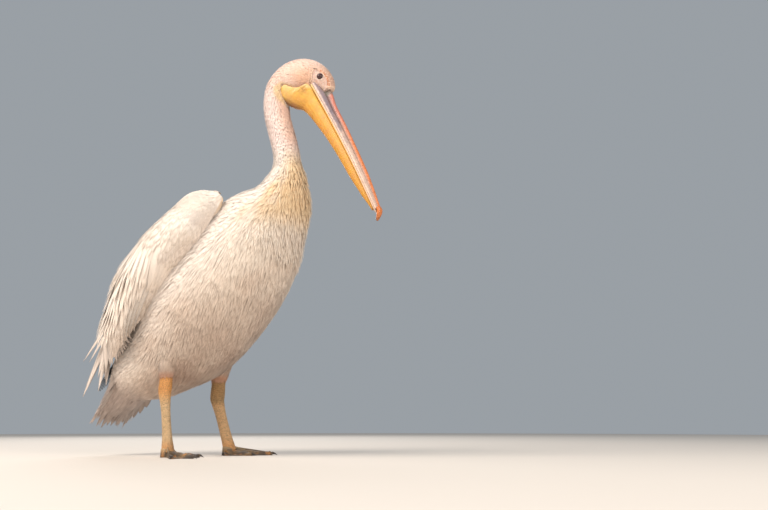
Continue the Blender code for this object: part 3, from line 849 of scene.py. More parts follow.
class Wing(Surface):
    """The outside of a folded wing. v goes from -1 at its upper edge to 1 at its lower one."""

    reach = (-0.98, 1.28)
    slack = (4.4, 6.8)  # between these rows the flesh gives way to loose vanes
    hides = 6.6  # up to this row the wing hides what lies under it

    def __init__(self, side: Side) -> None:
        """Takes the side."""
        self.side = side
        self.inward = float(side.value)
        self.spine = Spine(WING, 0.55)
        self.last = len(WING) - 1

    def section(self, u: Array) -> Array:
        """The wing's sizes at u, with the angles in radians."""
        rows = np.moveaxis(through(WING, u), -1, 0)
        return [*rows[:5], np.radians(rows[5]), np.radians(rows[6])]

    def inset(self, u: Array) -> Array:
        """How deep the flesh lies under the outline."""
        return np.minimum(0.007, self.section(u)[4] * 0.35)

    def flesh(self, u: Array) -> Array:
        """Half thickness of the flesh, which ends where only loose vanes are left."""
        return (self.section(u)[4] - self.inset(u)) * (1 - 0.8 * ease(*self.slack, u))

    def bluntness(self, lower: Array) -> Array:
        """The exponent of the section: rounder at the lower edge than at the upper one."""
        return np.where(lower > 0, 0.8, 0.45)

    def wrapped(self, u: Array, lean: Array, lift: Array) -> Array:
        """The point at an angle from the back and a height over the pad's middle."""
        x, z, over, beside = self.section(u)[:4]
        back = self.spine.back(u)
        up = (over + lift) * np.cos(lean)
        y = np.maximum((beside + lift) * np.sin(lean), 0.001)
        return np.stack([x + back[..., 0] * up, self.side.value * y, z + back[..., 1] * up], -1)

    def point(self, u: Array, v: Array) -> Array:
        """A pad with blunt edges, after q = sin(v pi/2).

        It reaches q |q|^(p-1) of the half width across and cos(v pi/2)^p of the thickness high. Past the
        wing's end it runs straight on; before its start it closes as half an ellipsoid.
        """
        u, v = np.broadcast_arrays(np.asarray(u, float), np.asarray(v, float))
        inside = np.clip(u, 0, self.last)
        thick, top, bottom = self.section(inside)[4:]
        across, high = np.sin(v * math.pi / 2), np.cos(v * math.pi / 2)
        power = self.bluntness(v)
        lean = (bottom + top) / 2 + (bottom - top) / 2 * signed_power(across, power)
        made = self.wrapped(inside, lean, thick * signed_power(high, power))
        if np.any(u < 0):
            t = np.clip(-u, 0, 0.98)[..., None]
            core = self.wrapped(inside, (bottom + top) / 2, 0 * thick)
            made = core + (made - core) * np.sqrt(1 - t**2) + np.array((0.75, 0, 0.66)) * (0.012 * t)
        if np.any(u > self.last):
            before = self.point(np.full(u.shape, self.last - 0.4), v)
            end = self.point(np.full(u.shape, float(self.last)), v)
            made = made + (end - before) * (np.maximum(u - self.last, 0) / 0.4)[..., None]
        return made

    def depth(self, u: Array, v: Array) -> Array:
        """From the outline down to the flesh."""
        inside = np.clip(u, 0, self.last)
        return (self.section(inside)[4] - self.flesh(inside)) * np.clip(1 + u, 0.1, 1)

    def unwrapped(self, u: Array, v: Array) -> Array:
        """Along the wing by across it."""
        return np.stack([on_map(np.clip(u / 12.5, 0, 1)), 0.5 + 0.44 * np.clip(v, -1.08, 1.08)], -1)

    def covers(self, points: Array, margin: float) -> Array:
        """Whether the wing lies over points of the trunk.

        Args:
            points: points of the body's outline.
            margin: how far inside the wing's lower edge they have to lie.

        Returns:
            True for each point that the wing hides.
        """
        fine = np.linspace(0.35, self.last, 160)
        centre = through(WING, fine)[:, :2]
        flat = points[..., [0, 2]]
        best, miss = self.spine.nearest(flat, fine, centre)
        u = fine[best]
        over, beside, _, top, bottom = self.section(u)[2:]
        up = dot(flat - centre[best], self.spine.back(u))
        lean = np.arctan2(np.abs(points[..., 1]) / beside, up / over)
        reach = np.hypot(up, points[..., 1])
        ok = (lean > top + margin / over) & (lean < bottom - margin / beside) & (miss < 0.01)
        return ok & (reach < beside + 0.02) & (points[..., 1] * self.side.value > 0) & (u < self.hides)

    def pad(self) -> Array:
        """Rings of the wing's flesh, drawn in from the outline: blunt sections that wrap round the trunk."""
        last = self.slack[1]
        u = np.linspace(0.25, last, 44)[:, None]
        turn = turns(40)
        top, bottom = self.section(u)[5:]
        power = self.bluntness(np.cos(turn))
        half = ((bottom - top) / 2 - self.inset(u) / 0.12) * (1 - 0.4 * ease(5.5, last, u))
        lean = (bottom + top) / 2 + half * signed_power(np.cos(turn), power)
        lift = self.flesh(u) * signed_power(np.sin(turn), power)
        return self.wrapped(np.broadcast_to(u, lean.shape), lean, lift)


@dataclass
class Leg(Surface):
    """A leg: level sections up two straight lengths. v is the angle from the foot's heading to its left."""

    side: Side
    foot: tuple[float, float]
    heading: float
    heel: tuple[float, float, float]
    knee: tuple[float, float, float]
    inward = 1.0
    run = -1.0

    @property
    def inner(self) -> int:
        """The sign of a turn towards the bird's middle."""
        return -self.side.value

    def axes(self) -> tuple[Array, Array]:
        """The way the foot points, and square to it."""
        c, s = math.cos(self.heading), math.sin(self.heading)
        return np.array((c, s, 0.0)), np.array((-s, c, 0.0))

    def centre(self, u: Array) -> Array:
        """The middle of the leg: from the ankle to the heel, then to the knee."""
        stops = np.array([(*self.foot, ANKLE_HEIGHT), self.heel, self.knee])
        low = stops[0] + (stops[1] - stops[0]) * np.minimum(u, 1)[..., None]
        return low + (stops[2] - stops[1]) * np.maximum(u - 1, 0)[..., None]

    def point(self, u: Array, v: Array) -> Array:
        """The middle plus depth cos v forward and width sin v across, with the coat on the thigh."""
        width, depth = keyed(LEG_SECTIONS, u)
        coat = THIGH_COAT * ease(THIGH_BARE, THIGH_CLAD, u)
        forward, across = self.axes()
        return (
            self.centre(u)
            + ((depth + coat) * np.cos(v))[..., None] * forward
            + ((width + coat) * np.sin(v))[..., None] * across
        )

    def depth(self, u: Array, v: Array) -> Array:
        """The thigh's coat."""
        return THIGH_COAT * ease(THIGH_BARE - 0.02, THIGH_CLAD, u)

    def unwrapped(self, u: Array, v: Array) -> Array:
        """Up the leg by round it."""
        return on_map(np.stack([np.clip(u / 2.2, 0, 1), v / (2 * math.pi) % 1], -1))


LEGS = (
    Leg(Side.RIGHT, foot=(-0.025, -0.08), heading=math.radians(-24), heel=(-0.044, -0.077, 0.14),
        knee=(-0.045, -0.07, 0.24)),
    Leg(Side.LEFT, foot=(0.033, 0.08), heading=math.radians(14), heel=(-0.002, 0.076, 0.128),
        knee=(0.006, 0.07, 0.24)),
)
BODY = Body()
WINGS = {side: Wing(side) for side in Side}


# ---- the bill's frame
def bill_point(share: Array, across: Array, rise: Array) -> Array:
    """A point of the bill: its root, plus the share of the length along it, with a bow of 4 s (1 - s).

    Args:
        share: how far along the bill.
        across: how far to the left.
        rise: how far over the gape line.

    Returns:
        The points.
    """
    share, across, rise = np.broadcast_arrays(*(np.asarray(a, float) for a in (share, across, rise)))
    height = rise + bill_bow(share)
    made = np.array(BILL_ROOT) + BILL_WAY * (share * BILL_LENGTH)[..., None] + BILL_UP * height[..., None]
    made[..., 1] += across
    return made


def bill_bow(share: Array) -> Array:
    """How far the gape line bows up at a share of the bill's length."""
    return BILL_BOW * 4 * np.maximum(share, 0) * np.maximum(1 - share, 0)


def on_bill(points: Array) -> tuple[Array, Array]:
    """Share along the bill and rise over the gape line of points, the reverse of bill_point."""
    off = points - np.array(BILL_ROOT)
    share = (off[..., 0] * math.cos(BILL_DROOP) - off[..., 2] * math.sin(BILL_DROOP)) / BILL_LENGTH
    rise = off[..., 0] * math.sin(BILL_DROOP) + off[..., 2] * math.cos(BILL_DROOP)
    return share, rise - bill_bow(share)


def in_pouch(points: Array, margin: float) -> Array:
    """Whether points of the head or neck lie inside the pouch.

    Args:
        points: the points.
        margin: how much wider the pouch is taken to be.

    Returns:
        True for each point inside.
    """
    share, rise = on_bill(points)
    top, depth, width = keyed(POUCH_SECTIONS, share)
    side = np.clip(np.abs(points[..., 1]) / (width + margin), 0, 1)
    floor = top - (depth + margin) * (1 - side**2) ** 0.4
    beside = (share > POUCH_START - 0.003) & (share < POUCH_END + 0.005)
    return beside & (np.abs(points[..., 1]) < width + margin) & (rise > floor) & (rise < top + margin)


# ---- markings that the skin and the coat share, and painted shade round the vent
def ashen(x: Array, z: Array) -> Array:
    """Ash round the vent, partly painted shade: more towards the tail, below a line that slants down to it."""
    return 0.85 * ease(0.205, 0.115, z + 0.25 * (x + 0.17)) * ease(-0.11, -0.17, x)


def horny(z: Array, level: float) -> Array:
    """How far the bill's horn spreads below a level at its root."""
    return ease(level, level - 0.002, z)


def face_depth(points: Array) -> Array:
    """How far points lie inside the edge of the bare face, negative outside."""
    return edge_distance(points[..., 0], points[..., 2], FACE_EDGE)


# ---- the skin
class Part(Enum):
    """Parts of the skin, each with its finish, in the order of the skin's materials."""

    BODY = 0
    FACE = 1
    POUCH = 2
    LEG = 3
    FOOT = 4

    @property
    def finish(self) -> Finish:
        """The part's finish."""
        return (DOWN, FACE_SKIN, POUCH_SKIN, SCALES, WEBS)[self.value]


def spaced(total: OfOne, first: float, last: float, gap: OfOne) -> Array:
    """Parameters along a path, a given gap apart: equal steps of the sum of length over gap.

    Args:
        total: points of the path at an array of parameters.
        first: the first parameter.
        last: the last parameter.
        gap: the gap wanted at an array of parameters, in metres.

    Returns:
        The parameters.
    """
    fine = np.linspace(first, last, 3000)
    step = np.linalg.norm(np.diff(total(fine), axis=0), axis=1)
    count = np.concatenate([[0], np.cumsum(step / gap((fine[1:] + fine[:-1]) / 2))])
    return np.interp(np.linspace(0, count[-1], int(count[-1]) + 1), count, fine)


@dataclass
class Skin:
    """One closed skin over all flesh: body, wings, pouch, legs and feet, joined by Booleans."""

    columns: int = 160
    face_gap: float = 0.001
    trunk_gap: float = 0.01

    def body(self) -> Shape:
        """The head, neck and trunk, finest on the face, with the lids and the hollow of each eye."""

        def gap(u: Array) -> Array:
            """Fine over the face, wider down the neck and over the trunk."""
            wide = (self.face_gap, self.face_gap, 0.003, 0.005, self.trunk_gap, self.trunk_gap)
            return np.interp(u, (0, 3.0, 4.2, 6, 12, 19), wide)

        u = spaced(lambda at: through(BODY.table, at)[:, [0, 1]], 0.0, BODY.last, gap)[:, None]
        theta = turns(self.columns)
        u, v = np.broadcast_arrays(u, theta + 0.17 * np.sin(2 * theta))
        rings = self.lids(BODY.point(u, v, BODY.depth(u, v)))
        return loft(rounded(rings, 0.0, 0.03))

    def lids(self, points: Array) -> Array:
        """Shapes the skin round each eye.

        By the distance r from the eye's axis the skin is raised into a rim of 1 mm at the opening, sinks
        behind the eyeball inside it, and swells a little round it.

        Args:
            points: points of the head.

        Returns:
            The points, moved sideways.
        """
        made = points.copy()
        x, _, z = EYE_CENTRE
        r = np.hypot(points[..., 0] - x, (points[..., 2] - z) * 1.12)
        side = np.sign(points[..., 1])
        near = (np.abs(points[..., 1]) > 0.008) & (r < 0.03)
        rim = 0.0013 * hump(LID_RADIUS + 0.0011, 0.0013, r) + 0.0008 * hump(0.0115, 0.0022, r)
        sunk = 0.008 * (1 - ease(LID_RADIUS - 0.0012, LID_RADIUS, r))
        made[..., 1] += np.where(near, side * (rim - sunk), 0)
        face = face_depth(points)
        pebble = 0.00035 * ripple(points, 0.0045, 4) + 0.0005 * ripple(points, 0.012, 5)
        made[..., 1] += np.where(near, side * pebble * ease(0, 0.003, face) * ease(0.008, 0.012, r), 0)
        return made

    def pouch(self) -> Shape:
        """The drawn-in pouch: hanging sections with fine long folds, and a crease at the gape."""
        near, far = np.linspace(POUCH_START, 0.12, 74), np.linspace(0.125, POUCH_END, 110)
        share = np.concatenate([near, far])[:, None]
        angle = np.linspace(0, math.pi, 72)[None, :]
        top, depth, width = keyed(POUCH_SECTIONS, share)
        fold = 0.00045 * np.sin(angle * 23 + 3 * share * 9) * hump(0.2, 0.35, share) * np.sin(angle) ** 2
        across = (width + fold) * np.cos(angle)
        rise = top - 0.0003 - (depth + fold) * np.sin(angle) ** 0.8
        points = bill_point(share, across, rise)
        tuck = np.hypot((share + 0.012) * BILL_LENGTH, rise + 0.02)
        pleat = 0.0007 * hump(0.01, 0.01, tuck) * ripple(points, 0.007, 12)
        points[..., 1] += np.sign(np.cos(angle)) * pleat * np.abs(np.cos(angle)) ** 0.5
        return loft(points)

    def leg(self, leg: Leg) -> Shape:
        """Makes a leg's flesh down into its foot, with rings of skin round the heel and a tendon behind.

        Args:
            leg: the leg.

        Returns:
            The flesh.
        """
        u = np.concatenate([np.linspace(-0.1, 1.5, 150), np.linspace(1.52, 1.98, 14)])[:, None]
        u, v = np.broadcast_arrays(u, turns(40))
        points = leg.point(u, v)
        centre = leg.centre(u)
        level = points[..., 2:3]
        rings = 0.00042 * np.sin(level * 2 * math.pi / 0.0042 + 0.8 * np.sin(v)[..., None] * 2)
        rings = rings * (hump(1.06, 0.2, u) + 0.7 * hump(1.36, 0.16, u))[..., None]
        coat = -THIGH_COAT * ease(THIGH_BARE, THIGH_CLAD, u)[..., None]
        tendon = 0.001 * (hump(math.pi, 0.45, v) * ease(0.05, 0.3, u) * (1 - ease(0.8, 1.0, u)))[..., None]
        return loft(points + unit((points - centre) * (1, 1, 0)) * (rings + coat + tendon))

    def foot(self, leg: Leg) -> Shape:
        """A webbed foot: a height over a flat sole at each angle and share of the way out.

        The outline runs straight from toe to toe, drawn in by a share 4 t (1 - t) of WEB_HOLLOW. The height
        is the greatest of the web, the mound under the ankle and the half-round toes with swelling joints.

        Args:
            leg: the leg that stands on it.

        Returns:
            The foot.
        """
        bend, length = np.array(sorted((toe[0] * leg.inner, toe[1]) for toe in TOES), float).T
        ways = np.radians(bend)
        fan = np.concatenate([np.linspace(a, b, 46, endpoint=False) for a, b in zip(ways, ways[1:])])
        rest = np.linspace(ways[-1], ways[0] + 2 * math.pi, 40, endpoint=False)
        angle = np.concatenate([fan, rest])
        degrees = np.degrees((angle + math.pi) % (2 * math.pi) - math.pi)
        slot = np.clip(np.searchsorted(bend, degrees) - 1, 0, len(bend) - 2)
        t = (degrees - bend[slot]) / (bend[slot + 1] - bend[slot])
        reach = (length[slot] * (1 - t) + length[slot + 1] * t) * (1 - WEB_HOLLOW * 4 * t * (1 - t))
        off = np.abs(degrees[:, None] - bend)
        past, nearest = off.min(1), length[off.argmin(1)]
        half = np.degrees(TOE_HALF_WIDTH / nearest)
        toe_end = np.maximum(HEEL_PAD, nearest * (1 - 0.5 * (past / half) ** 2))
        outside = (t < 0) | (t > 1)
        reach = np.where(outside, np.where(past <= half, toe_end, HEEL_PAD), reach)
        share = np.concatenate([np.linspace(0.02, 0.5, 18), np.linspace(0.53, 1.0, 24)])
        x = reach[None, :] * share[:, None] * np.cos(angle)
        y = reach[None, :] * share[:, None] * np.sin(angle)
        height = np.maximum(WEB_THICKNESS, ANKLE_HEIGHT * np.exp(-((np.hypot(x, y) / 0.02) ** 4)))
        height += 0.0004 * ripple(np.stack([x, y, 0 * x], -1), 0.01, 11) * (height < 0.003)
        for bend, length, ridge, _ in TOES:
            turn = math.radians(bend * leg.inner)
            along = x * math.cos(turn) + y * math.sin(turn)
            off = np.abs(y * math.cos(turn) - x * math.sin(turn)) / TOE_HALF_WIDTH
            taper = (1.25 - 0.45 * along / length) * (1 + 0.1 * np.cos(along / 0.027 * 2 * math.pi))
            toe = WEB_THICKNESS + (ridge * taper - WEB_THICKNESS) * np.sqrt(np.clip(1 - off**2, 0, 1))
            height = np.where((along > 0) & (off < 1), np.maximum(height, toe), height)
        height[-1] = np.minimum(height[-1], 0.004)
        height[-2] = np.minimum(height[-2], 0.0062)
        crown = self.stood(leg, x, y, height)
        sole = self.stood(leg, x[-1:], y[-1:], 0 * x[-1:])
        return loft(np.concatenate([crown, sole]))

    def stood(self, leg: Leg, x: Array, y: Array, z: Array) -> Array:
        """Points of a foot's own frame, turned to its heading and stood in its place."""
        forward, across = leg.axes()
        made = x[..., None] * forward + y[..., None] * across + z[..., None] * UPWARD
        return made + np.array((*leg.foot, 0.0))

    def union(self, shapes: Sequence[tuple[Shape, Part]]) -> tuple[Mesh, Array]:
        """Joins shapes into one closed mesh by Booleans.

        Args:
            shapes: each shape with its part.

        Returns:
            The mesh, and the number of the part of each face.
        """
        objects = []
        for number, (shape, part) in enumerate(shapes):
            mesh = SHOP.mesh(f"flesh {number}", Shape(shape.points, shape.faces))
            for each in Part:
                mesh.materials.append(each.finish.material())
            mesh.polygons.foreach_set("material_index", np.full(len(mesh.polygons), part.value, np.int32))
            objects.append(shown(mesh.name, mesh))
        for other in objects[1:]:
            join = objects[0].modifiers.new("join", "BOOLEAN")
            join.operation, join.object, join.solver, join.material_mode = "UNION", other, "EXACT", "INDEX"
        graph = bpy.context.evaluated_depsgraph_get()
        mesh = bpy.data.meshes.new_from_object(objects[0].evaluated_get(graph))
        for obj in objects:
            bpy.data.objects.remove(obj, do_unlink=True)
        return mesh, read(mesh.polygons, "material_index")

    def colour(self, points: Array, part: Array) -> Array:
        """The colour of each point of the skin.

        Args:
            points: the points.
            part: the number of the part that each belongs to.

        Returns:
            The colours.
        """
        x, z = points[:, 0], points[:, 2]
        root = (x > 0.3) & (z > 0.83)
        # tan low down as on the coat, partly staining and partly painted shade
        made = painted(
            points, Hue.DOWN, (Hue.TAN, 0.5 * ease(0.45, 0.25, z)), (Hue.ASH, ashen(x, z)),
            (Hue.OCHRE, 0.8 * ease(0.06, 0.12, x) * ease(0.49, 0.565, z) * ease(0.735, 0.66, z)),
            (Hue.PEACH, 0.7 * ease(0.83, 0.86, z)), (Hue.HORN, 0.85 * horny(z, 0.858) * root),
            (Hue.DUSK, 0.75 * hump(0.8575, 0.0024, z) * root))
        for each, paint in ((Part.FACE, self.face_colour), (Part.POUCH, self.pouch_colour),
                            (Part.LEG, self.leg_colour), (Part.FOOT, self.foot_colour)):
            chosen = part == each.value
            made[chosen] = paint(points[chosen])
        return made

    def face_colour(self, points: Array) -> Array:
        """Pale pink, mottled, paler round the eye, dusky along the feathers' edge."""
        x, z = points[:, 0], points[:, 2]
        r = np.hypot(x - EYE_CENTRE[0], z - EYE_CENTRE[2])
        back = 1 - ease(0.29, 0.312, x)
        return painted(
            points, Hue.FLESH, (Hue.LID, 0.75 * (1 - ease(0.007, 0.014, r))),
            (Hue.SHELL, 0.4 * ease(0.3, 0.318, x)), (Hue.CORAL, 0.1 + 0.1 * ripple(points, 0.007, 21)),
            (Hue.UMBRE, 0.8 * hump(0.0002, 0.0016, face_depth(points)) * (0.25 + 0.75 * back)),
            (Hue.HORN, 0.9 * horny(z, HORN_LEVEL) * (x > 0.308)),
            (Hue.DUSK, 0.9 * (1 - ease(LID_RADIUS - 0.0006, LID_RADIUS + 0.0004, r))))

    def pouch_colour(self, points: Array) -> Array:
        """Golden, deeper low down and farther out, cream along the jaw by the gape, ochre underneath."""
        share, rise = on_bill(points)
        top, depth, _ = keyed(POUCH_SECTIONS, share)
        low = np.clip((top - rise) / depth, 0, 1)
        gape = np.hypot((share - 0.008) * BILL_LENGTH, (rise + 0.004) * 0.8)
        fold = hump(0.0, 0.011, np.hypot((share - 0.012) * BILL_LENGTH, rise + 0.025))
        seam = ease(0.0105, 0.008, -rise) * ease(0.03, 0.08, share)
        return painted(
            points, Hue.GOLD, (Hue.BUTTER, 0.38 * hump(-0.05, 0.05, share) + 0.1),
            (Hue.AMBER, 0.75 * ease(0.25, 0.85, low) * ease(-0.02, 0.1, share)),
            (Hue.AMBER, 0.7 * ease(0.05, 0.35, share)),
            (Hue.UMBER, 0.55 * ease(0.88, 1.0, low) * ease(-0.03, 0.03, share)),
            # painted shadow low at the pouch's rear, where it meets the neck
            (Hue.DUSK, 0.8 * ease(0.72, 1.0, low) * (1 - ease(0.03, 0.12, share))),
            (Hue.CORAL, 0.1 + 0.1 * ripple(points, 0.018, 22)),
            (Hue.UMBRE, 0.75 * (1 - ease(0.001, 0.003, top - rise)) * (share < 0.0)),
            (Hue.BUTTER, 0.85 * (1 - ease(0.007, 0.013, gape))),
            (Hue.BROWN, fold * (0.3 + 0.3 * ripple(points, 0.004, 24))), (Hue.UMBER, 0.15 * seam))

    def leg_colour(self, points: Array) -> Array:
        """Orange over the heel fading to straw, dusky specks; the left leg warmer as painted light, with
        painted shade above.
        """
        z, left = points[:, 2], points[:, 1] > 0
        rings = 0.5 + 0.5 * np.sin(z * 2 * math.pi / 0.0046 + 2.0 * ripple(points, 0.02, 35))
        speck = ease(0.45, 1.0, ripple(points, 0.0048, 31)) * (0.45 + 0.4 * ripple(points, 0.03, 32))
        made = painted(
            # on the left leg, orange added as painted light, and olive above the heel as painted shade
            points, Hue.STRAW, (Hue.APRICOT, ease(0.105, 0.15, z)), (Hue.APRICOT, 0.35 * left),
            (Hue.OLIVE, 0.75 * ease(0.112, 0.128, z) * left),
            (Hue.APRICOT, 0.6 * (1 - ease(0.018, 0.045, z))),
            (Hue.BUTTER, 0.25 * rings * ease(0.11, 0.13, z)))
        made = made * (1 - np.multiply.outer(ease(0.13, 0.1, z) * ~left, (0.06, 0.12, 0.18)))
        return mixed(made, Hue.OLIVE, speck * (1 - 0.8 * ease(0.12, 0.15, z)))

    def foot_colour(self, points: Array) -> Array:
        """Dark webs with olive and orange patches, the toes paler along their ridges."""
        return painted(
            points, Hue.OLIVE, (Hue.SLATE, 0.62 + 0.45 * ripple(points, 0.028, 33)),
            (Hue.APRICOT, 0.55 * ease(0.35, 0.9, ripple(points, 0.02, 34))),
            (Hue.STRAW, 0.75 * ease(0.012, 0.02, points[:, 2])))

    def build(self) -> Object:
        """Makes the skin, sorts its faces by part and paints it."""
        shapes = [(self.body(), Part.BODY), (self.pouch(), Part.POUCH)]
        for wing in WINGS.values():
            shapes.append((loft(rounded(wing.pad(), 0.012, 0.012)), Part.BODY))
        for leg in LEGS:
            shapes += [(self.leg(leg), Part.LEG), (self.foot(leg), Part.FOOT)]
        mesh, part = self.union(shapes)
        mesh.name = "skin"
        points = read(mesh.vertices, "co", 3, np.float32).astype(float) - SHOP.offset
        middle = read(mesh.polygons, "center", 3, np.float32).astype(float) - SHOP.offset
        bare = (face_depth(middle) > 0) & (middle[:, 2] > 0.8)
        part = np.where((part == Part.BODY.value) & bare, Part.FACE.value, part)
        part = np.where((part == Part.LEG.value) & (middle[:, 2] > 0.185), Part.BODY.value, part)
        mesh.polygons.foreach_set("material_index", part.astype(np.int32))
        point_part = np.zeros(len(points), int)
        corner = read(mesh.loops, "vertex_index")
        np.maximum.at(point_part, corner, np.repeat(part, read(mesh.polygons, "loop_total")))
        SHOP.tint(mesh, self.colour(points, point_part))
        mesh.polygons.foreach_set("use_smooth", np.ones(len(part), bool))
        nodes = ["head", "neck_upper", "neck_middle", "neck_lower", "trunk", "pouch"]
        for side in Side:
            nodes += [f"{name}_{side.word}" for name in ("wing", "thigh", "shank", "tarsus", "foot")]
        return SHOP.enter(shown("skin", mesh), nodes)


# ---- feathers
TUFT = np.array(((-1.0, 0.0), (0.0, 1.0), (1.0, 0.0)))  # a small feather's section: edges and ridge
PLUME = np.array(((-1.0, 0.0), (-0.5, 0.8), (0.0, 1.0), (0.5, 0.75), (1.0, 0.0)))  # a covert, gently arched
BLADE = np.array((
    (-1.0, 0.0), (-0.55, 0.65), (-0.08, 0.95), (0.0, 1.35), (0.08, 0.95), (0.55, 0.6), (1.0, 0.0), (0.0, 0.3),
))  # a long feather: two arched vanes and the shaft between


def feathers(path: Array, out: Array, half: Array, thick: Array, section: Array, colour: Array, root: Array,
             edge: float = 0.1) -> Shape:
    """Closed vanes along paths: at each ring the section is set square to the path.

    A point of the section (a, b) goes to path + side a half + out b thick, with side the cross product of the
    path's direction and out.

    Args:
        path: feathers by rings by three.
        out: which way each ring faces, the same shape.
        half: half widths, feathers by rings or rings.
        thick: thicknesses, the same way.
        section: the section's points, a loop of edge, top, edge and perhaps bottom.
        colour: feathers by rings by three.
        root: each feather's place on the bake map, feathers by two.
        edge: how much darker the vanes' edges are, painted shade in the gaps between vanes.

    Returns:
        The joined vanes, facing outwards.
    """
    number, rings, _ = path.shape
    half, thick = np.broadcast_to(half, path.shape[:2]), np.broadcast_to(thick, path.shape[:2])
    count = len(section)
    along = unit(np.gradient(path, axis=1))
    out = unit(out - along * dot(out, along)[..., None])
    side = np.cross(along, out)
    a, b = section[:, 0], section[:, 1]
    points = (
        path[:, :, None]
        + side[:, :, None] * (half[..., None] * a)[..., None]
        + out[:, :, None] * (thick[..., None] * b)[..., None]
    )
    index = np.arange(number * rings * count).reshape(number, rings, count)
    near, far = index[:, :-1], index[:, 1:]
    quads = np.stack([near, np.roll(near, -1, 2), np.roll(far, -1, 2), far], -1).reshape(-1, 4)
    caps = np.concatenate([index[:, 0, ::-1], index[:, -1]])
    step = np.stack(np.meshgrid(np.linspace(-0.5, 0.5, rings), a / 2, indexing="ij"), -1) * PATCH
    bake = (root[:, None, None] + step[None]).reshape(-1, 2)
    # painted shade along each vane's edges, where the gaps between vanes lie
    shade = 1 - edge * np.abs(a) ** 2
    colour = (colour[:, :, None] * shade[None, None, :, None]).reshape(-1, 3)
    crisp = np.broadcast_to(np.abs(a) > 0.99, (number, rings, count)).reshape(-1)
    return Shape(points.reshape(-1, 3), [quads, caps], colour, bake, crisp)


@dataclass(frozen=True)
class Cut:
    """How one kind of feather is cut: rings, sizes in metres, and how it lies."""

    length: float
    half_width: float
    thickness: float = 0.0005
    rings: int = 5
    point: float = 0.7  # exponent of the taper to the tip: small is blunt
    root: float = 0.5  # width at the root, as a share
    lift: float = 0.0  # how far the tip stands over the outline
    scatter: float = 0.1  # random turn, in radians
    vary: float = 0.18  # random share of the length
    tilt: float = 0.0  # turn about its own length, so that neighbours lap like tiles

    def widths(self) -> Array:
        """The half width at each ring: it opens from the root, and closes as (1 - s^3)^point."""
        s = np.linspace(0, 1, self.rings)
        shape = np.minimum(1, self.root + 2.2 * s) * np.clip(1 - s**3, 0.0, 1) ** self.point
        return self.half_width * np.maximum(shape, 0.06)


@dataclass
class Coat:
    """Feathers of one kind combed over part of a surface."""

    surface: Surface
    cut: Cut
    sag: OfTwo  # share of straight down in the lie, from u and v
    paint: OfThree  # colours from points, normals and the share to the tip
    rng: np.random.Generator
    section: Array = field(default_factory=lambda: TUFT)

    def comb(self, u: Array, v: Array, size: Array | float = 1.0, bold: Array | float = 1.0) -> Shape:
        """Grows a feather from each root.

        Each path starts on the skin and steps over the surface: at each ring its direction is the slope of u
        mixed with straight down, turned by the feather's own scatter, and the step is solved for u and v. It
        rises from the skin to the outline as s^0.8.

        Args:
            u: first parameters of the roots.
            v: second parameters.
            size: scale of each feather.
            bold: scale of each feather's thickness and of how far its tip stands off.

        Returns:
            The feathers.
        """
        cut, number = self.cut, len(u)
        bold = np.broadcast_to(bold, (number,))
        size = np.broadcast_to(size, (number,)) * (1 + self.rng.uniform(-cut.vary, cut.vary, number))
        turn = self.rng.normal(0, cut.scatter, number)
        lift = cut.lift * self.rng.uniform(0.2, 1.0, number)
        tip = (lift + self.rng.uniform(-0.0003, 0.0003, number)) * bold
        root = self.surface.unwrapped(u, v)
        step = cut.length * size / (cut.rings - 1)
        path, out = [], []
        share = np.linspace(0, 1, cut.rings)
        for s in share:
            point, du, dv, normal = self.surface.frame(u, v)
            down = normal * normal[:, 2:3] - UPWARD
            sag = self.sag(u, v)[:, None]
            way = unit(unit(du) * self.surface.run * (1 - sag) + down * sag)
            way = way * np.cos(turn)[:, None] + np.cross(normal, way) * np.sin(turn)[:, None]
            rise = -self.surface.depth(u, v) * (1 - s**0.8) + tip * s**1.5
            path.append(point + normal * rise[:, None])
            out.append(unit(normal + np.cross(normal, way) * cut.tilt))
            a, b, c = dot(du, du), dot(du, dv), dot(dv, dv)
            e, f = dot(du, way), dot(dv, way)
            wide = np.maximum(a * c - b * b, 1e-14)
            u = u + (c * e - b * f) / wide * step
            v = np.clip(v + (a * f - b * e) / wide * step, *self.surface.reach)
        path, out = np.stack(path, 1), np.stack(out, 1)
        half = cut.widths() * np.sqrt(size)[:, None]
        thick = cut.thickness * np.linspace(1.0, 0.45, cut.rings) * bold[:, None]
        return feathers(path, out, half, thick, self.section, self.paint(path, out, share), root)


def roots(surface: Surface, u: Array, gap: float, rng: np.random.Generator, low: float, high: float,
          loose: float = 1.0) -> tuple[Array, Array]:
    """Roots in rows across a surface, evenly spaced along each row and then moved a little.

    Args:
        surface: the surface.
        u: the rows' parameters.
        gap: the distance between roots along a row.
        rng: the source of chance.
        low: where a row starts.
        high: where it ends; a full turn closes on itself.
        loose: how much they are moved, from 0 to 1.

    Returns:
        The two parameters of the roots.
    """
    all_u, all_v = [], []
    for number, row in enumerate(u):
        v = np.linspace(low, high, 80)
        run = surface.point(np.full(80, row), v)
        total = np.concatenate([[0], np.cumsum(np.linalg.norm(np.diff(run, axis=0), axis=1))])
        count = max(int(total[-1] / gap), 3)
        at = (np.arange(count) + 0.5 * (number % 2) + rng.uniform(-0.3, 0.3, count) * loose) / count
        all_v.append(np.interp(at * total[-1], total, v))
        step = np.gradient(u)[number]
        all_u.append(row + step * rng.uniform(-0.45, 0.45, count) * loose)
    return np.concatenate(all_u), np.concatenate(all_v)


def body_rows(first: str, last: str, gap: float) -> Array:
    """Rows of roots down the body between two stations, a gap apart."""
    ends = BODY.at(first), BODY.at(last)
    return spaced(lambda at: through(BODY.table, at)[:, [0, 1]], *ends, lambda at: 0 * at + gap)


def varied(colour: Array, rng: np.random.Generator, amount: float) -> Array:
    """Colours with a random brightness for each feather."""
    return colour * (1 + rng.normal(0, amount, (len(colour), 1, 1)))


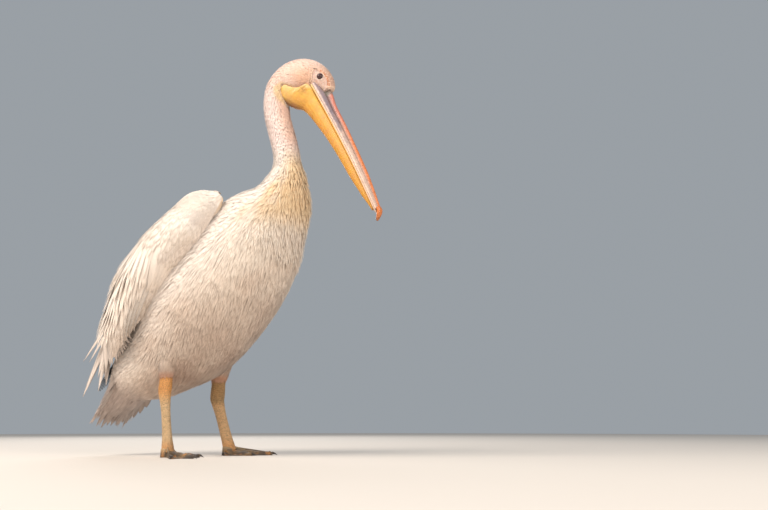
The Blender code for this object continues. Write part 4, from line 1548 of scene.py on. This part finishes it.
@dataclass
class Plumage:
    """The coat of the head, neck and trunk."""

    seed: int = 7
    head_rows: float = 0.0036
    head_gap: float = 0.0019
    trunk_rows: float = 0.0125
    trunk_gap: float = 0.0019

    def colour(self, points: Array, out: Array, share: Array) -> Array:
        """White over the back, cream on the breast, tan and ash below, ochre at the foot of the neck.

        Peach on the head and the throat, yellow beside the pouch, dark round the bare face and at the bill's
        root. The tan below is partly staining and partly painted shade, the ash partly painted shade. Painted
        shade lies on the under side, on a patch low on the breast's side, on the top and front of the head and
        on faces that look up. Each feather is a little darker at its root, painted shade from the feathers over
        it.

        Args:
            points: points of the feathers.
            out: which way the coat faces at them.
            share: how far towards the feather's tip they lie.

        Returns:
            The colours.
        """
        x, _, z = np.moveaxis(points, -1, 0)
        facing, up = out[..., 0], out[..., 2]
        front = ease(-0.35, 0.75, facing * 0.8 - up * 0.5)
        trunk = 1 - ease(0.6, 0.7, z)
        # tan below: partly staining and partly painted shade where the coat faces down and lies low
        low = ease(0.15, 0.95, -up + 0.35 * facing + 0.6 * ease(0.48, 0.26, z))
        # painted shade where the lower trunk faces down
        under = ease(0.25, 0.85, -up) * ease(0.46, 0.34, z) * ease(-0.19, -0.1, x)
        patch = ease(-0.05, 0.7, facing + 0.2 * ripple(points, 0.05, 41))
        patch = patch * ease(0.49, 0.565, z) * (1 - ease(0.66, 0.735, z))
        throat = ease(0.0, 0.8, facing) * ease(0.69, 0.75, z) * (1 - ease(0.845, 0.875, z))
        cheek = hump(0.262, 0.034, x) * hump(0.885, 0.028, z) * ease(0.0, 0.8, np.abs(out[..., 1]))
        head = ease(0.845, 0.855, z)
        along, rise = on_bill(points)
        top, depth, _ = keyed(POUCH_SECTIONS, along)
        beside = np.hypot(np.maximum(POUCH_START - along, 0) * BILL_LENGTH, np.maximum(top - depth - rise, 0))
        beside = beside + np.maximum(rise - top, 0)
        line = (1 - ease(0.001, 0.003, beside)) * (rise > top - 0.004) * (z > 0.862) * (along < 0.05)
        edge = -face_depth(points)
        made = painted(
            points, Hue.WHITE, (Hue.CREAM, 0.85 * front * trunk),
            (Hue.TAN, 0.55 * low * trunk * (0.85 + 0.25 * ripple(points, 0.09, 43))),
            (Hue.SHADE, 0.8 * under * (0.9 + 0.25 * ripple(points, 0.07, 44))),
            # a patch of painted shade low on the breast's side
            (Hue.SHADE, 0.35 * hump(0.045, 0.055, x) * hump(0.27, 0.06, z)),
            (Hue.ASH, ashen(x, z)), (Hue.OCHRE, 0.9 * patch),
            (Hue.PEACH, 0.5 * throat + 0.22 * ease(0.68, 0.76, z)),
            (Hue.PEACH, 0.7 * cheek + 0.46 * ease(0.86, 0.9, z) + 0.12 * ease(0.92, 0.95, z)),
            (Hue.PEACH, 0.55 * (ease(0.288, 0.312, x) * head)),
            (Hue.RUST, 0.45 * ease(0.306, 0.322, x) * head),
            (Hue.BUTTER, 0.75 * (1 - ease(0.0, 0.012, beside)) * (z > 0.78) * (along < 0.1)),
            (Hue.UMBRE, 0.75 * line),
            (Hue.DUSK, 0.75 * (1 - ease(0.0022, 0.0044, edge)) * (z > 0.86) * (x < 0.296)),
            (Hue.EMBER, 0.8 * (1 - ease(0.002, 0.008, edge)) * (z > 0.86) * (x > 0.302)),
            (Hue.HORN, 0.9 * horny(z, HORN_LEVEL) * (x > 0.3) * (z > 0.83)),
            (Hue.DUSK, 0.8 * hump(0.853, 0.0026, z) * (x > 0.3)))
        # painted shade on the top and the front of the head
        dark = 0.04 * ease(0.86, 0.88, z), 0.09 * ease(0.285, 0.315, x) * ease(0.845, 0.86, z)
        made = made * (1 - dark[0] - dark[1])[..., None]
        # painted shade on faces that look up, toning down the light from above
        made = made * (1 - 0.06 * ease(0.3, 0.9, up))[..., None]
        made = made * (1 - np.multiply.outer(ease(0.68, 0.74, z), (0.01, 0.04, -0.03)))
        made = made * (1 - 0.24 * ease(0.19, 0.13, z) * ease(-0.12, -0.25, x))[..., None]
        # painted shade at each feather's root, from the feathers over it
        shade = 0.9 + 0.13 * ease(0.0, 0.75, share) - 0.03 * ease(0.85, 1.0, share)
        return made * (shade * (1 + 0.04 * ripple(points, 0.035, 42)))[..., None]

    def sag(self, u: Array, v: Array) -> Array:
        """None on the head, neck and back, most at the breast's front, less again at the tail."""
        trunk = ease(11.0, 13.5, u) * (1 - 0.8 * ease(16.5, 18.5, u))
        return 0.56 * trunk * ease(0.4, -0.7, np.cos(v))

    def patch(self, name: str, cut: Cut, first: str, last: str, rows: float, gap: float, seed: int,
              keep: OfThree,
              size: OfThree | None = None, deep: float = 0.0,
              sag: OfTwo | None = None) -> None:
        """Combs one kind of feather between two stations of the body and makes it a piece.

        Args:
            name: the piece's name.
            cut: the kind of feather.
            first: station of the first row.
            last: station of the last row.
            rows: distance between rows.
            gap: distance along a row.
            seed: seed of its chance.
            keep: which roots to keep, from points, u and v.
            size: scale of each feather, from the same, or none.
            deep: how much darker the roots are, painted shade from the feathers over them.
            sag: how far the lie turns down, if not as on the rest of the body.
        """
        rng = np.random.default_rng(self.seed + seed)
        u, v = roots(BODY, body_rows(first, last, rows), gap, rng, 0, 2 * math.pi)
        points = BODY.point(u, v)
        kept = keep(points, u, v)
        u, v, points = u[kept], v[kept], points[kept]
        scale = 1.0 if size is None else size(points, u, v)
        bold = np.where(points[:, 2] > 0.62, 1.0, 0.35 + 0.65 * ease(0.45, -0.3, np.cos(v)))

        def paint(path: Array, out: Array, share: Array) -> Array:
            """The coat's colour with each feather's own brightness."""
            # painted shade at the roots
            shade = 1 - deep * (1 - ease(0, 0.7, share))
            return varied(self.colour(path, out, share) * shade[..., None], rng, 0.045 + 0.1 * deep)

        shape = Coat(BODY, cut, sag or self.sag, paint, rng).comb(u, v, scale, bold)
        SHOP.piece(name, shape, PLUMAGE)

    def free(self, points: Array, u: Array, v: Array) -> Array:
        """Roots off the bare face, the pouch and the bill, and not under a wing."""
        bare = (face_depth(points) > -0.0006) & (points[:, 2] > 0.84)
        return ~(bare | self.winged(points, 0.045) | in_pouch(points, 0.0025))

    def winged(self, points: Array, margin: float) -> Array:
        """Whether points lie under a wing, by a margin inside its lower edge."""
        return np.any([wing.covers(points, margin) for wing in WINGS.values()], 0)

    def build(self) -> None:
        """Makes the coats of the head, neck and trunk, and the ruff at the neck's foot."""

        def near_face(points: Array, u: Array, v: Array) -> Array:
            """Shorter feathers towards the bare face and the bill."""
            edge = -face_depth(points)
            return 0.45 + 0.75 * ease(0.0, 0.03, edge) * ease(0.5, 3.0, u)

        self.patch("coat_head", Cut(0.0095, 0.0017, 0.00035, 4, 0.6, lift=0.0003, scatter=0.16), "bill root",
                   "nape", self.head_rows, self.head_gap, 1, self.free, near_face)
        self.patch("coat_neck", Cut(0.015, 0.0019, 0.0004, 4, 0.6, lift=0.0006, scatter=0.12), "nape",
                   "neck base", 0.005, 0.0024, 2, self.free)

        def free(low: float, high: float) -> OfThree:
            """Picks free roots where the cosine of v lies between two bounds."""
            return lambda points, u, v: self.free(points, u, v) & (np.cos(v) > low) & (np.cos(v) <= high)

        back, front = free(0.05, 2), free(-2, 0.05)
        streak = Cut(0.046, 0.002, 0.0004, 6, 0.9, lift=0.001, scatter=0.045)
        self.patch("coat_back", Cut(0.034, 0.0046, 0.0004, 5, 0.6, lift=0.0004, scatter=0.06), "neck foot",
                   "vent", 0.01, 0.0044, 3, back)
        for name, first, last, seed in (("breast", "neck base", "keel", 4), ("flanks", "keel", "belly", 8),
                                        ("belly", "belly", "rump", 5)):
            self.patch(f"coat_{name}", streak, first, last, self.trunk_rows, self.trunk_gap, seed, front)
        self.patch("coat_vent", Cut(0.044, 0.0034, 0.0006, 7, 0.9, lift=0.002, scatter=0.1), "rump",
                   "vent", 0.0075, 0.0034, 9, front)
        self.patch("coat_undertail", Cut(0.07, 0.0046, 0.0006, 9, 0.8, lift=0.004, scatter=0.09, vary=0.35),
                   "vent", "tail root", 0.006, 0.0044, 11, self.free,
                   lambda points, u, v: 1.0 - 0.5 * ease(-0.2, 0.6, np.cos(v)))

        def verge(points: Array, u: Array, v: Array) -> Array:
            """Roots along the lower edge of each wing."""
            return self.winged(points, -0.016) & ~self.winged(points, 0.006)

        self.patch("coat_verge", Cut(0.042, 0.003, 0.0005, 7, 0.9, lift=0.011, scatter=0.06), "shoulders",
                   "rump", 0.0075, 0.003, 10, verge, sag=lambda u, v: -0.1 + 0 * u)

        # the ruff, with painted shade at its roots for the dark gaps between its strands
        self.patch("coat_ruff", Cut(0.034, 0.0022, 0.0008, 5, 1.1, lift=0.0065, scatter=0.17), "neck foot",
                   "breast", 0.0085, 0.0036, 6, lambda points, u, v: np.cos(v) < -0.2, deep=0.16)


@dataclass
class Thighs:
    """The coats of the thighs, down to the scalloped edge over each heel."""

    seed: int = 70
    low: float = 1.57
    high: float = 1.98
    cut: Cut = Cut(0.046, 0.002, 0.0004, 6, 0.9, lift=0.0022, scatter=0.07)

    def paint(self, points: Array, out: Array, share: Array) -> Array:
        """The trunk's under-side colours and painted shade, with a rusty hem of painted shade over the leg."""
        # normals turned down, so the thigh takes the painted shade of the trunk's under side
        made = Plumage().colour(points, unit(out - 0.55 * UPWARD), share)
        # more painted shade low on the thigh
        made = mixed(made, Hue.SHADE, 0.25 * (1 - ease(0.182, 0.215, points[..., 2])))
        # the rusty hem: painted shade under the feathers' edge over the leg
        made = mixed(made, Hue.RUST, 0.7 * (1 - ease(0.181, 0.19, points[..., 2])))
        # painted shade: darker overall, most at the roots
        return made * (0.78 + 0.16 * ease(0, 0.8, share))[..., None]

    def build(self) -> None:
        """Combs both thighs where they stand clear of the trunk, with shorter feathers towards the heel."""
        for number, leg in enumerate(LEGS):
            rng = np.random.default_rng(self.seed + number)
            u, v = roots(leg, np.linspace(self.low, self.high, 20), 0.002, rng, 0, 2 * math.pi)
            clear = ~BODY.within(leg.point(u, v), 0.022)
            size = np.interp(u, (self.low, 1.68, self.high), (0.3, 0.75, 1.0))
            coat = Coat(leg, self.cut, lambda u, v: 0.1 + 0 * u, self.paint, rng)
            made = coat.comb(u[clear], v[clear], size[clear])
            SHOP.piece(f"coat_thigh_{leg.side.word}", made, PLUMAGE)


@dataclass
class WingCoat:
    """The coats of the folded wings: small coverts on the bend, then long vanes to the tips."""

    seed: int = 90

    def paint(self, points: Array, out: Array, share: Array) -> Array:
        """White, tan towards the tips, with painted shade: tan on down faces by the lower edge, darker roots
        and tops.
        """
        made = painted(
            points, Hue.WHITE, (Hue.CREAM, 0.25 + 0.25 * ripple(points, 0.06, 91)),
            # painted shade in tan where the wing faces down, in the fold by its lower edge
            (Hue.TAN, 0.3 * ease(0.2, 0.95, -out[..., 2] + 0.25)),
            (Hue.TAN, 0.18 * ease(0.36, 0.16, points[..., 2])))
        # painted shade at each root and on faces that look up
        return made * (0.93 + 0.07 * ease(0.0, 0.5, share) - 0.05 * ease(0.3, 0.9, out[..., 2]))[..., None]

    def coat(self, name: str, wing: Wing, cut: Cut, rows: Array, gap: float, seed: int, section: Array,
             size: OfTwo | None = None) -> None:
        """Combs one kind of feather over a wing and makes it a piece.

        Args:
            name: the piece's name, without its side.
            wing: the wing.
            cut: the kind of feather.
            rows: first parameters of the rows.
            gap: distance along a row.
            seed: seed of its chance.
            section: the feather's section.
            size: scale of each feather from u and v, or none.
        """
        rng = np.random.default_rng(self.seed + seed + 50 * (wing.side is Side.LEFT))
        u, v = roots(wing, rows, gap, rng, -0.97, 1.02, 0.5)

        def sag(u: Array, v: Array) -> Array:
            """Down from the wing's own run, more below the bend and towards the lower edge."""
            return 0.1 + 0.4 * ease(1.5, 4.5, u) + 0.25 * ease(-0.3, 0.6, v) * ease(1.0, 3.0, u)

        def paint(path: Array, out: Array, share: Array) -> Array:
            """The wing's colour with each feather's own brightness."""
            return varied(self.paint(path, out, share), rng, 0.022)

        coat = Coat(wing, replace(cut, tilt=cut.tilt * wing.side.value), sag, paint, rng, section)
        made = coat.comb(u, v, 1.0 if size is None else size(u, v))
        SHOP.piece(f"{name}_{wing.side.word}", made, VANE)

    def reach(self, u: Array, v: Array) -> Array:
        """Scale of the long vanes, so that they end along a slanting line across the wing's end."""
        end = 9.5 - 0.7 * ease(-0.6, 0.8, v)
        return np.clip((end - u) / 3.7, 0.4, 1.25)

    def tips(self, wing: Wing) -> None:
        """Long vanes whose free tips part at the wing's end.

        Each runs as (1 - s)^2 a + 2 s (1 - s) b + s^2 c, from a on the wing along its surface past b to c,
        its place in the table.

        Args:
            wing: the wing.
        """
        rng = np.random.default_rng(self.seed + 9)
        table = np.array(TIP_VANES)
        u, v, wide = table[:, 0], table[:, 1], table[:, 5:6]
        s = np.linspace(0, 1, 16)[None, :, None]
        first, middle = wing.point(u, v), wing.point(u + 1.7, v)
        end = table[:, 2:5] * (1, -wing.side.value, 1)
        path = (1 - s) ** 2 * first[:, None] + 2 * s * (1 - s) * middle[:, None] + s**2 * end[:, None]
        normal = wing.frame(u + 1.0, v)[3]
        away = np.array((-0.15, wing.side.value, -0.1))
        out = unit(normal[:, None] * (1 - s) ** 2 + away * (0.15 + 1.2 * s))
        path = path + normal[:, None] * (0.0012 - 0.006 * (1 - s) ** 3)
        t = s[..., 0]
        half = 2.2 * wide * np.minimum(1, 0.5 + 1.2 * t) * np.clip(1 - t**6, 0.01, 1) ** 0.9
        colour = mixed(varied(self.paint(path, out, t), rng, 0.02), Hue.ASH, 0.45 * ease(0.6, 1.0, t))
        # dark edges: painted shade in the gaps between the free tips
        shape = feathers(path, out, half, 0.0013 - 0.0006 * t, BLADE, colour, wing.unwrapped(u, v), 0.45)
        SHOP.piece(f"wing_tips_{wing.side.word}", shape, VANE)

    def build(self) -> None:
        """Makes the coats of both wings, from the tips forward to the bend."""
        small = Cut(0.028, 0.0042, 0.0002, 5, 0.5, 0.6, lift=0.0001, scatter=0.03, vary=0.12, tilt=0.01)
        middle = replace(small, length=0.07, half_width=0.005, rings=7, scatter=0.015, vary=0.35)
        long = Cut(0.175, 0.0076, 0.0006, 14, 0.8, 0.8, lift=0.0005, scatter=0.009, vary=0.08, tilt=0.045)
        for wing in WINGS.values():
            self.tips(wing)
            self.coat("wing_vanes", wing, long, np.linspace(2.0, 6.1, 14), 0.008, 1, PLUME, self.reach)
            self.coat("wing_coverts", wing, middle, np.linspace(1.0, 3.9, 22), 0.0054, 2, PLUME)
            self.coat("wing_bend", wing, small, np.linspace(-0.9, 2.2, 36), 0.0042, 3, TUFT)


@dataclass
class Tail:
    """The fan of the tail, the coverts over and under it, and the dark quills beside it."""

    feathers_in_fan: int = 14
    length: float = TAIL_LENGTH
    half_width: float = 0.0125

    def layer(self, number: int, share: float, lift: float, half_width: float, seed: int,
              tone: float) -> Shape:
        """One layer of vanes that spread from the root, each at its own angle and lower towards the sides.

        A feather at angle a runs from the root, a share of the base out, along cos a times the tail's run
        plus sin a sideways, for the length times 1 - ROUNDING (a / SPREAD)^2.

        Args:
            number: how many vanes.
            share: their length as a share of the tail's.
            lift: how far the layer lies over the tail's middle, negative under it.
            half_width: of a vane.
            seed: seed of its chance.
            tone: how far the colour goes from cream to grey.

        Returns:
            The vanes.
        """
        rng = np.random.default_rng(seed)
        spread = np.linspace(-1, 1, number) + rng.uniform(-0.3, 0.3, number) / number
        s = np.linspace(0, 1, 14)
        angle = spread * TAIL_SPREAD
        way = np.cos(angle)[:, None] * TAIL_WAY + np.sin(angle)[:, None] * ACROSS
        long = self.length * share * (1 - TAIL_ROUNDING * spread**2) + rng.uniform(-0.005, 0.007, number)
        start = np.array(TAIL_ROOT) + spread[:, None] * np.array((0, TAIL_BASE - half_width * 0.3, 0))
        path = start[:, None] + way[:, None] * s[None, :, None] * long[:, None, None]
        stack = 0.0035 * np.abs(spread)[:, None]
        bow = (-0.014 * spread**2)[:, None] * s * share - (stack if lift >= 0 else -stack)
        rest = np.where(s < 0.75, 1.0, 1 - (s - 0.75) * 2.4) * lift
        path = path + TAIL_UP * (bow + rest + 0.0008 * rng.uniform(-1, 1, (number, 1)))[..., None]
        out = np.broadcast_to(TAIL_UP, path.shape) + ACROSS * (0.35 * spread)[:, None, None]
        out = out if lift >= 0 else -out
        shape = np.minimum(1, 0.45 + 1.1 * s) * np.clip(1 - s**7, 0.02, 1) ** 0.8
        thick = np.linspace(0.0018, 0.0008, len(s))
        made = painted(path, Hue.CREAM, (Hue.ASH, tone + 0.15 * ripple(path, 0.03, 121)),
                       (Hue.DUSK, 0.22 * tone * ease(0.72, 1.0, s)))
        root = np.stack([0.5 + 0.45 * spread, 0.3 + 0 * spread], 1)
        colour = varied(made * 0.88, rng, 0.04)
        # darker edges: painted shade in the gaps between the tail's vanes
        return feathers(path, out, half_width * shape, thick, BLADE, colour, root, 0.25)

    def coverts(self) -> Shape:
        """Shorter vanes over and under the fan's root, in layers that shorten away from it."""
        table = ((17, 0.78, 0.003), (19, 0.6, 0.0055), (19, 0.44, 0.008), (17, 0.7, -0.0035),
                 (19, 0.52, -0.0065), (19, 0.36, -0.0095))
        return joined([self.layer(number, share, lift, 0.0085, 130 + i, 0.55)
                       for i, (number, share, lift) in enumerate(table)])

    def quills(self, side: Side) -> Shape:
        """Makes six dark quills that lie together beside the rump, fanned a little at their tips.

        Args:
            side: the side they lie on.

        Returns:
            The quills.
        """
        table = np.array((
            (-0.15, 0.048, 0.275), (-0.178, 0.049, 0.245), (-0.202, 0.052, 0.215),
            (-0.22, 0.055, 0.188), (-0.233, 0.056, 0.166), (-0.242, 0.055, 0.146),
        ))
        s = np.linspace(0, 1, 14)
        share = np.linspace(-1, 1, 6)
        path = through(table, s[None, :] * (4.9 - 0.5 * np.abs(share - 0.4))[:, None])
        path = path + ACROSS * (0.012 * share[:, None] * (0.5 + 0.5 * s))[..., None]
        path = path * np.array((1, side.value, 1.0))
        out = np.broadcast_to(np.array((-0.55, 0.55 * side.value, 0.25)), path.shape)
        half = 0.0046 * np.minimum(1, 0.4 + 2 * s) * np.clip(1 - s**3, 0.03, 1) ** 0.7
        thick = np.linspace(0.0022, 0.001, len(s))
        root = np.stack([0.1 + 0.05 * share, 0.5 + 0 * share], 1)
        return feathers(path, out, half, thick, BLADE, painted(path, Hue.SOOT), root)

    def build(self) -> None:
        """Makes the fan, its coverts and the quills of both sides."""
        fan = self.layer(self.feathers_in_fan, 1.0, 0.0, self.half_width, 120, 0.85)
        SHOP.piece("tail_fan", fan, VANE, ["tail"])
        SHOP.piece("tail_coverts", self.coverts(), VANE)
        for side in Side:
            SHOP.piece(f"quills_{side.word}", self.quills(side), VANE,
                       [f"primaries_{side.word}"])


@dataclass
class Eyes:
    """The eyeballs: a sphere each, with a swelling cornea over a dark iris."""

    radius: float = EYE_RADIUS

    def ball(self, side: Side) -> Shape:
        """Rings about the sideways axis: at angle a from the pole the radius is R (1 + 0.05 bell(a))."""
        a = np.linspace(0.03, math.pi - 0.03, 44)[:, None]
        turn = turns(48)
        r = self.radius * (1 + 0.05 * hump(0, 0.6, a))
        flat = r * np.sin(a)
        depth = side.value * r * np.cos(a) + 0 * turn
        points = np.stack([flat * np.cos(turn), depth, flat * np.sin(turn)], -1)
        points += np.array(EYE_CENTRE) * (1, side.value, 1)
        made = painted(points, Hue.BROWN) * 0.5
        made = mixed(made, Hue.RUST, 0.3 * hump(0.52, 0.16, a))
        made = mixed(made, Hue.SOOT, 0.98 * (1 - ease(0.34, 0.4, a)))
        return loft(points, made)

    def build(self) -> None:
        """Makes both eyes."""
        for side in Side:
            SHOP.piece(f"eyeball_{side.word}", self.ball(side), EYE, [f"eye_{side.word}"])


@dataclass
class Bill:
    """The upper bill with its ridge, grooves and side plates, the rim of the lower jaw, and the nail."""

    rings: int = 150
    half: int = 31

    def upper(self) -> Shape:
        """The smoothed half outline, mirrored, along the bill, with a shallow groove by the ridge."""
        share = np.linspace(0, BILL_SECTIONS[-1][0], self.rings)[:, None]
        width, height, _ = keyed(BILL_SECTIONS, share)
        corner = np.linspace(0, len(UPPER_OUTLINE), self.half)[None, :]
        line = through(((0.0, 1.02), *UPPER_OUTLINE), corner)
        across = width * np.minimum(line[..., 0], 1.0)
        rise = 0.0003 + height * np.clip(line[..., 1], 0.0, 1.02)
        rise = rise - 0.0009 * hump(3.0, 0.35, corner)
        rise = rise - 0.0005 * hump(1.45, 0.25, corner) * ease(0.1, 0.3, share)
        across = across - 0.0004 * hump(5.2, 0.3, corner)
        under = np.array((0.6, 0.0, -0.6))[None, :] * width
        flat = 0.0003 + 0 * under
        across = np.concatenate([across, under, -across[:, ::-1]], 1)
        rise = np.concatenate([rise, flat, rise[:, ::-1]], 1)
        corners = np.concatenate([corner, 0 * under[:1] + 6, corner[:, ::-1]], 1)
        points = bill_point(share, across, rise)
        return loft(points, self.upper_colour(points, share, corners))

    def upper_colour(self, points: Array, share: Array, corner: Array) -> Array:
        """A mauve plate fading to shell, dark grooves, a ridge from coral to orange, and horn at its foot.

        Args:
            points: the upper bill's points.
            share: how far along the bill they lie.
            corner: how far down the outline from its ridge, in corners.

        Returns:
            The colours.
        """
        ridge = 1 - ease(2.3, 2.9, corner)
        foot = 1 - ease(0.1, 0.13, share)
        made = painted(
            points, Hue.MAUVE, (Hue.SHELL, 0.92 * ease(0.22, 0.56, share + 0.06 * ripple(points, 0.02, 51))),
            (Hue.SHELL, 0.55 * ease(4.7, 5.3, corner)), (Hue.CORAL, ridge * 0.95),
            (Hue.EMBER, ridge * ease(0.15, 0.6, share) * 0.9),
            (Hue.BROWN, 0.7 * hump(3.0, 0.33, corner) * (1 - 0.55 * ease(0.4, 0.8, share))),
            (Hue.BROWN, 0.45 * hump(1.45, 0.22, corner)), (Hue.BROWN, 0.3 * (1 - ease(0.0, 0.8, corner))),
            (Hue.HORN, 0.85 * foot * (1 - ease(3.2, 4.2, corner))),
            (Hue.DUSK, 0.85 * hump(0.062, 0.012, share) * (1 - ease(3.6, 4.6, corner))))
        return made * (1 + 0.12 * ripple(points, 0.009, 52))[..., None]

    def lower(self) -> Shape:
        """The rim: flat on top and rounded below, as width |cos a|^0.45 by depth sin a."""
        share = np.linspace(0, 0.985, self.rings)[:, None]
        width, _, depth = keyed(BILL_SECTIONS, share)
        close = np.sqrt(np.clip(1 - ((share - 0.93) / 0.058).clip(0, 1) ** 2, 0.02, 1))
        angle = np.linspace(0, math.pi, 25)[None, :]
        across = 0.97 * width * close * signed_power(np.cos(angle), 0.45)
        rise = -0.0003 - depth * close * np.sin(angle) ** 0.8
        points = bill_point(share, across, rise)
        under = ease(0.002, 0.0042, -rise)
        made = painted(
            points, Hue.SHELL, (Hue.BUTTER, 0.9 * (1 - ease(0.03, 0.14, share))),
            (Hue.GOLD, 0.85 * under * ease(0.05, 0.12, share)),
            (Hue.AMBER, 0.5 * under * ease(0.4, 0.8, share)))
        return loft(points, made)

    def nail(self) -> Shape:
        """The hooked nail: half rings carried round an arc, closing as sqrt(1 - 0.92 t^2)."""
        t = np.linspace(0, 1, 30)[:, None]
        a = turns(40)
        _, width, height, _ = BILL_SECTIONS[-1]
        turn = t * NAIL_TURN
        reach = NAIL_LENGTH / NAIL_TURN
        share = BILL_SECTIONS[-1][0] - 0.004 + reach * np.sin(turn) / BILL_LENGTH
        sink = reach * (1 - np.cos(turn))
        half = width * np.sqrt(1 - 0.92 * t**2) * 1.04
        thick = height * (1 - 0.63 * t + 0.45 * np.sin(math.pi * t))
        lift = thick * (0.5 + 0.5 * np.cos(a)) + 0.0006 + 0.0007 * hump(0, 0.35, np.sin(a / 2))
        back = np.sin(turn) * (lift - thick) / BILL_LENGTH
        points = bill_point(share + back, half * np.sin(a), lift * np.cos(turn) - sink)
        made = painted(
            points, Hue.EMBER, (Hue.BROWN, 0.75 * (1 - ease(0.12, 0.4, (1 + np.cos(a)) / 2 + 0 * t))),
            (Hue.BROWN, 0.55 * ease(0.55, 1.0, t) + 0.25 * ripple(points, 0.006, 53)))
        return loft(points, made)

    def build(self) -> None:
        """Makes the three pieces."""
        SHOP.piece("bill_upper", self.upper(), HORN, ["upper_bill"])
        SHOP.piece("bill_rim", self.lower(), HORN, ["lower_bill"])
        SHOP.piece("bill_tip", self.nail(), NAIL, ["bill_nail"])


@dataclass
class Claws:
    """Four curved claws on each foot, narrower than the toes they grow from."""

    half: float = 0.0034
    names: tuple[str, ...] = ("outer", "middle", "inner", "hind")

    def claw(self, leg: Leg, bend: float, length: float, claw: float) -> Shape:
        """Rings along a curve that sinks to the floor: half width 0.0034 (1 - 0.88 t).

        Args:
            leg: the leg that the toe belongs to.
            bend: the toe's angle to the inner side, in degrees.
            length: how far from the ankle the claw starts.
            claw: the claw's length.

        Returns:
            The claw.
        """
        angle = leg.heading + math.radians(bend * leg.inner)
        way = np.array((math.cos(angle), math.sin(angle), 0))
        across = np.array((-way[1], way[0], 0))
        t = np.linspace(0, 1, 14)[:, None]
        a = turns(14)
        half = self.half * (1 - 0.88 * t)
        middle = 0.0045 * (1 - t**2) + 0.0008
        start = np.array((*leg.foot, 0.0)) + way * (length - 0.001)
        points = start + way * (claw * t)[..., None] + across * (half * np.sin(a) * 0.8)[..., None]
        points = points + UPWARD * np.maximum(middle + half * np.cos(a), 0.0)[..., None]
        return loft(points, painted(points, Hue.CLAW, (Hue.OLIVE, 0.4 * (1 - ease(0, 0.3, t)))))

    def build(self) -> None:
        """Makes the claws of each foot as one piece."""
        for leg in LEGS:
            shapes = [self.claw(leg, bend, length, claw) for bend, length, _, claw in TOES]
            nodes = [f"claw_{name}_{leg.side.word}" for name in self.names]
            SHOP.piece(f"claws_{leg.side.word}", joined(shapes), CLAW, nodes)


FLOOR_COLOUR = (0.66, 0.61, 0.56, 1)
SKY_COLOUR = (0.46, 0.5, 0.54, 1)


# ---- studio
@dataclass
class Studio:
    """A pale floor, soft light and the camera."""

    lens: float = 35.02
    eye: tuple[float, float, float] = (1.0147, -1.5287, 0.07)
    azimuth: tuple[float, float] = (-0.342, 0.94)
    pitch: float = math.radians(12.82)

    def floor(self) -> None:
        """A wide disc at floor level, its points on circles."""
        radius = np.array((0.02, 0.5, 1.5, 3.0, 5.0))[:, None]
        turn = turns(96)
        rings = np.stack([radius * np.cos(turn), radius * np.sin(turn), 0 * radius * turn], -1)
        index = np.arange(rings.size // 3).reshape(rings.shape[:2])
        near, far = index[:-1], index[1:]
        quads = np.stack([near, far, np.roll(far, -1, 1), np.roll(near, -1, 1)], -1).reshape(-1, 4)
        mesh = SHOP.mesh("floor", Shape(rings.reshape(-1, 3) - SHOP.offset, [quads, index[:1]]))
        made = bpy.data.materials.new("floor")
        made.use_nodes = True
        filled(made.node_tree.nodes["Principled BSDF"], {"Base Color": FLOOR_COLOUR, "Roughness": 0.9})
        mesh.materials.append(made)
        shown("floor", mesh)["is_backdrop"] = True

    def lamp(self, name: str, place: tuple[float, float, float], size: float, power: float,
             tone: tuple[float, float, float]) -> None:
        """A square soft light at a place, turned to the bird's middle."""
        light = bpy.data.lights.new(name, "AREA")
        light.size, light.energy, light.color = size, power, tone
        obj = shown(name, light)
        obj.location = place
        obj.rotation_euler = (Vector((0, 0, 0.5)) - Vector(place)).to_track_quat("-Z", "Y").to_euler()

    def camera(self) -> None:
        """The camera, low beside the bird and looking a little up."""
        camera = bpy.data.cameras.new("camera")
        camera.lens, camera.sensor_width, camera.clip_end = self.lens, 36.0, 200.0
        obj = shown("camera", camera)
        level = Vector((*self.azimuth, 0)).normalized()
        look = level * math.cos(self.pitch) + Vector((0, 0, math.sin(self.pitch)))
        turn = look.to_track_quat("-Z", "Y").to_matrix().to_4x4()
        obj.matrix_world = Matrix.Translation(Vector(self.eye) + Vector(SHOP.offset)) @ turn
        bpy.context.scene.camera = obj

    def build(self) -> None:
        """Sets the stage."""
        self.floor()
        world = bpy.data.worlds.new("studio")
        world.use_nodes = True
        filled(world.node_tree.nodes["Background"], {"Color": SKY_COLOUR, "Strength": 0.7})
        bpy.context.scene.world = world
        bpy.context.scene.view_settings.view_transform = "Standard"
        self.lamp("key", (-1.2, -2.0, 2.6), 2.4, 140, (1.0, 0.91, 0.81))
        self.lamp("fill", (2.6, -1.6, 1.4), 2.4, 60, (1.0, 0.94, 0.87))
        self.lamp("rim", (-1.6, 2.2, 2.0), 1.8, 40, (1.0, 0.98, 0.95))
        self.camera()


def corners(box: tuple) -> list:
    """A box as plain lists."""
    return [[float(value) for value in corner] for corner in box]


def main() -> None:
    """Builds the bird from the skin outwards, then the studio."""
    logging.basicConfig(level=logging.INFO, format="%(message)s")
    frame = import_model()
    LOG.info("frame with %d nodes", len(frame["nodes"]))
    cad_box = corners(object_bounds())
    SHOP.place()
    for assembly in (Skin, Eyes, Bill, Claws, Plumage, Thighs, WingCoat, Tail, Studio):
        assembly().build()
    {"cad": cad_box, "visual": corners(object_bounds())}


if __name__ == "__main__":
    main()
